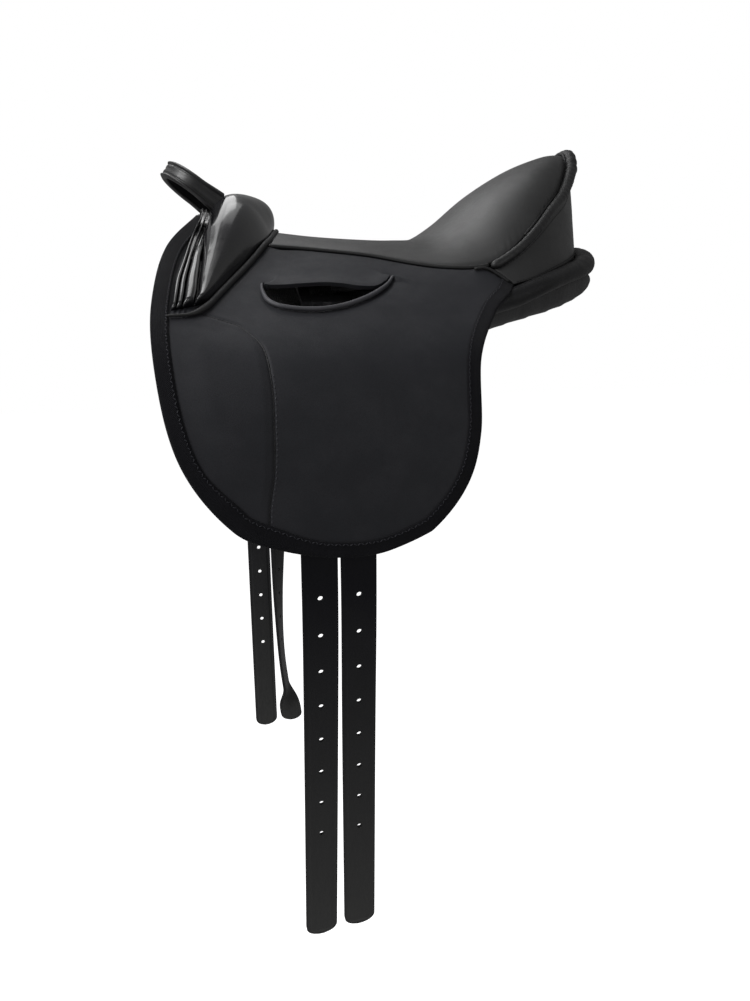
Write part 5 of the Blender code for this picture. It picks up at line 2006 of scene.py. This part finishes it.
@dataclass
class Billet:
    """Girth strap with a row of punched holes."""

    side: Side
    place: str
    middle: float
    drift: tuple
    tail: float
    twist: float = 0.0
    width: float = 25.0 * MM
    thickness: float = 3.0 * MM
    holes: int = 8
    pitch: float = 28.2 * MM
    first_hole: float = -205.0 * MM
    hole_radius: float = 2.0 * MM
    crease_inset: float = 2.6 * MM
    crease_width: float = 0.8 * MM
    tip: float = 9.0 * MM

    def __post_init__(self) -> None:
        """Measure the strap's route."""
        self.route = Line(mm(*((0, y, z) for y, z in BILLET_ROUTE[self.side])))
        top, foot = self.route.at(0.0)[0, 2], self.route.at(1.0)[0, 2]
        last = self.first_hole - (self.holes - 1) * self.pitch
        self.reach = (top - last + self.tail) / (top - foot)
        self.drop = self.reach * (top - foot)

    def surface(self, u: Array, v: Array) -> Array:
        """Middle of the strap's thickness.

        Args:
            u: across its width.
            v: from the top to the tip.

        Returns:
            Array (n, 3).
        """
        at = v * self.reach
        ahead = self.route.at(at + 0.01) - self.route.at(at - 0.01)
        ahead = np.where(at[:, None] > 0.99, self.route.at(at) - self.route.at(at - 0.01), ahead)
        square = unit(np.stack([0 * v, -ahead[:, 2], ahead[:, 1]], axis=1))
        turn = self.twist * smooth_step(v, 0.0, 0.85) * (1 - smooth_step(v, 0.90, 0.98))
        from_tip = np.clip((1 - v) * self.drop / self.tip, 0, 1)
        narrow = np.sqrt(np.maximum(1 - (1 - from_tip) ** 2.3, 0.03))
        sideways = (np.stack([np.cos(turn), 0 * v, 0 * v], axis=1)
                    + square * np.sin(turn)[:, None])
        shift = weave_rows(mm(*((d, 0, 0) for d in self.drift)), v)[:, :1]
        point = self.route.at(at) + np.array((1.0, 0, 0)) * (self.middle + shift)
        reach = (2 * u - 1) * self.width / 2 * narrow
        return self.side.mirror(point + sideways * reach[:, None])

    def build(self) -> list[Piece]:
        """Make the strap with its creased edges and holes.

        Returns:
            The pieces.
        """
        facing = normals_of(self.surface, np.array([0.5]), np.array([0.3]))[0]
        lift = (self.thickness / 2) * (1.0 if facing[1] * self.side.sign > 0 else -1.0)

        def front(u: Array, v: Array) -> Array:
            """The strap's outer face."""
            return self.surface(u, v) + normals_of(self.surface, u, v) * lift

        along = np.concatenate([stops(150, 0.0, 0.976),
                                1 - 0.024 * np.cos(round_end(16))[1:]])
        grid = Grid.laid(front, stops(24), along, (self.width, self.drop))
        gap = np.minimum(from_ends(grid.u) * self.width, (1 - grid.v) * self.drop)
        grid.write("crease", np.exp(-((gap - self.crease_inset) / self.crease_width) ** 2))
        grid.write("edge", smooth_step(gap, 1.2 * MM, 0.0))
        grid.face_towards(facing * lift)
        name = f"{self.side.value}_{self.place}_billet"
        strap = thicken(grid.piece(f"{name}_strap"), self.thickness, 0.5 * MM, 2)
        rows = stops(400)
        depth = -self.surface(np.full(len(rows), 0.5), rows)[:, 2]
        at = np.interp(self.pitch * np.arange(self.holes) - self.first_hole, depth, rows)
        middle = np.full(self.holes, 0.5)
        punch = bmesh.new()
        for here, way in zip(self.surface(middle, at), normals_of(self.surface, middle, at)):
            turn = Vector(UP).rotation_difference(Vector(way)).to_matrix().to_4x4()
            bmesh.ops.create_cone(punch, cap_ends=True, segments=24, radius1=self.hole_radius,
                                  radius2=self.hole_radius, depth=12 * MM,
                                  matrix=Matrix.Translation(Vector(here)) @ turn)
        carve(strap, as_piece("punch", punch), 40)
        BILLET_LEATHER.dress(strap)
        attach(strap, name)
        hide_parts(name)
        return [strap]


@dataclass
class Underworks:
    """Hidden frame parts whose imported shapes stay, with their real finishes."""

    finishes: tuple = (
        (TREE_RESIN, ("tree", "tree_head")),
        (DARK_STEEL, ("gullet_plate", "near_stirrup_bar", "far_stirrup_bar", "near_bar_catch",
                      "far_bar_catch", "near_catch_pin", "far_catch_pin")),
        (WEB, ("near_front_billet_web", "near_rear_billet_web", "far_front_billet_web",
               "far_rear_billet_web")))

    def dress(self, nodes: dict[str, Piece]) -> None:
        """Put the finishes on the frame's own pieces.

        Args:
            nodes: the frame's pieces by name.
        """
        for finish, names in self.finishes:
            for name in names:
                nodes[name].data.materials.clear()
                nodes[name].data.materials.append(finish.material())


@dataclass
class Studio:
    """Camera, lamps, pale floor and white surroundings."""

    camera_place: tuple = (-0.175, -0.642, -0.002)
    turn: float = radians(15.8)
    drop: float = radians(16.2)
    lens: float = 26.0
    sensor: float = 36.0
    floor_height: float = -1.0
    floor_size: float = 6.0
    floor_glow: float = 0.88
    sky_light: float = 0.14
    sky_gloss: float = 0.22

    def hang(self, data: bpy.types.ID, place: Sequence[float], way: Vector) -> Piece:
        """Put a camera or a lamp in its place.

        Args:
            data: the camera or the light.
            place: where it stands.
            way: the direction that it looks or shines in.

        Returns:
            Its object.
        """
        held = bpy.data.objects.new(data.name, data)
        held.location = place
        held.rotation_euler = way.to_track_quat("-Z", "Y").to_euler()
        bpy.context.scene.collection.objects.link(held)
        return held

    def camera(self) -> None:
        """Stand the camera at the photograph's viewing angle."""
        data = bpy.data.cameras.new("Camera")
        data.lens, data.sensor_width = self.lens, self.sensor
        way = Vector((sin(self.turn) * cos(self.drop), cos(self.turn) * cos(self.drop),
                      -sin(self.drop)))
        bpy.context.scene.camera = self.hang(data, self.camera_place, way)

    def lamp(self, name: str, place: Sequence[float], aim: Sequence[float], power: float,
             size: tuple[float, float]) -> None:
        """Hang a soft rectangular lamp.

        Args:
            name: its name.
            place: where it hangs.
            aim: what it points at.
            power: in watts.
            size: width and height.
        """
        light = bpy.data.lights.new(name, "AREA")
        light.energy = power
        light.shape = "RECTANGLE"
        light.size, light.size_y = size
        self.hang(light, place, Vector(aim) - Vector(place))

    def surroundings(self) -> None:
        """White where the camera and transmission rays look, dim for reflections and dimmer where
        light comes from.
        """
        world = bpy.data.worlds.new("Studio")
        bpy.context.scene.world = world
        sky = Nodes(world, "Background")
        rays = sky.add("ShaderNodeLightPath").outputs
        seen = sky.math("MAXIMUM", rays["Is Camera Ray"], rays["Is Transmission Ray"])
        mirrored_sky = sky.span(rays["Is Glossy Ray"], 0.0, 1.0, self.sky_light, self.sky_gloss)
        sky.surface(Color=(1, 1, 1, 1), Strength=sky.math("MAXIMUM", seen, mirrored_sky))

    def floor(self) -> None:
        """Pale floor below the hanging straps."""
        shape = bmesh.new()
        bmesh.ops.create_grid(shape, x_segments=1, y_segments=1, size=self.floor_size,
                              matrix=Matrix.Translation((0, 0, self.floor_height)))
        floor = as_piece("floor", shape)
        recipe = Recipe("Floor", 0.9, 0.1)
        recipe.surface(Base_Color=(0.9, 0.9, 0.9, 1.0))
        path = recipe.add("ShaderNodeLightPath")
        bright = recipe.math("MULTIPLY", path.outputs["Is Camera Ray"], self.floor_glow)
        recipe.surface(Emission_Color=(1, 1, 1, 1), Emission_Strength=bright)
        floor.data.materials.append(recipe.material)

    def build(self) -> None:
        """Set up everything that isn't the saddle."""
        self.camera()
        self.surroundings()
        self.floor()
        self.lamp("Key", (-1.05, -0.34, 1.00), (-0.02, -0.05, 0.0), 20, (0.7, 0.9))
        self.lamp("Side", (-1.1, -0.95, 0.30), (-0.05, -0.10, -0.05), 2.2, (0.4, 0.9))
        self.lamp("Fill", (0.75, -1.3, 0.25), (0.0, -0.1, -0.15), 2.6, (0.8, 0.8))
        self.lamp("Top", (-0.25, 0.80, 1.05), (0.05, 0.0, 0.0), 4.6, (0.8, 0.8))
        self.lamp("Overhead", (0.10, 0.55, 1.25), (0.03, 0.0, 0.0), 1, (0.6, 0.6))
        bpy.context.scene.view_settings.view_transform = "Standard"


def main() -> None:
    """Build the whole saddle round its frame."""
    logging.basicConfig(level=logging.INFO, format="%(name)s: %(message)s")
    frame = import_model()
    Studio().build()
    nodes = {name: bpy.data.objects[name] for name in frame["nodes"]}
    Underworks().dress(nodes)
    assemblies = [Seat(), Cantle(), Panels(), Pommel(), GrabHandle(), Flap(Side.NEAR),
                  Flap(Side.FAR),
                  Billet(Side.NEAR, "front", -85 * MM, (0.0, -4.5), 101 * MM),
                  Billet(Side.NEAR, "rear", -58 * MM, (0.0, -1.2, 0.2), 99.5 * MM),
                  Billet(Side.FAR, "front", -85 * MM, (0.0, -8.0), 101 * MM),
                  Billet(Side.FAR, "rear", -58 * MM,
                         (0.0, -1.0, -5.0, -8.6, -12.0, -11.5, -4.0), 99.5 * MM, radians(72))]
    for assembly in assemblies:
        for piece in assembly.build():
            LOG.info("%s: %d faces", piece.name, len(piece.data.polygons))


if __name__ == "__main__":
    main()
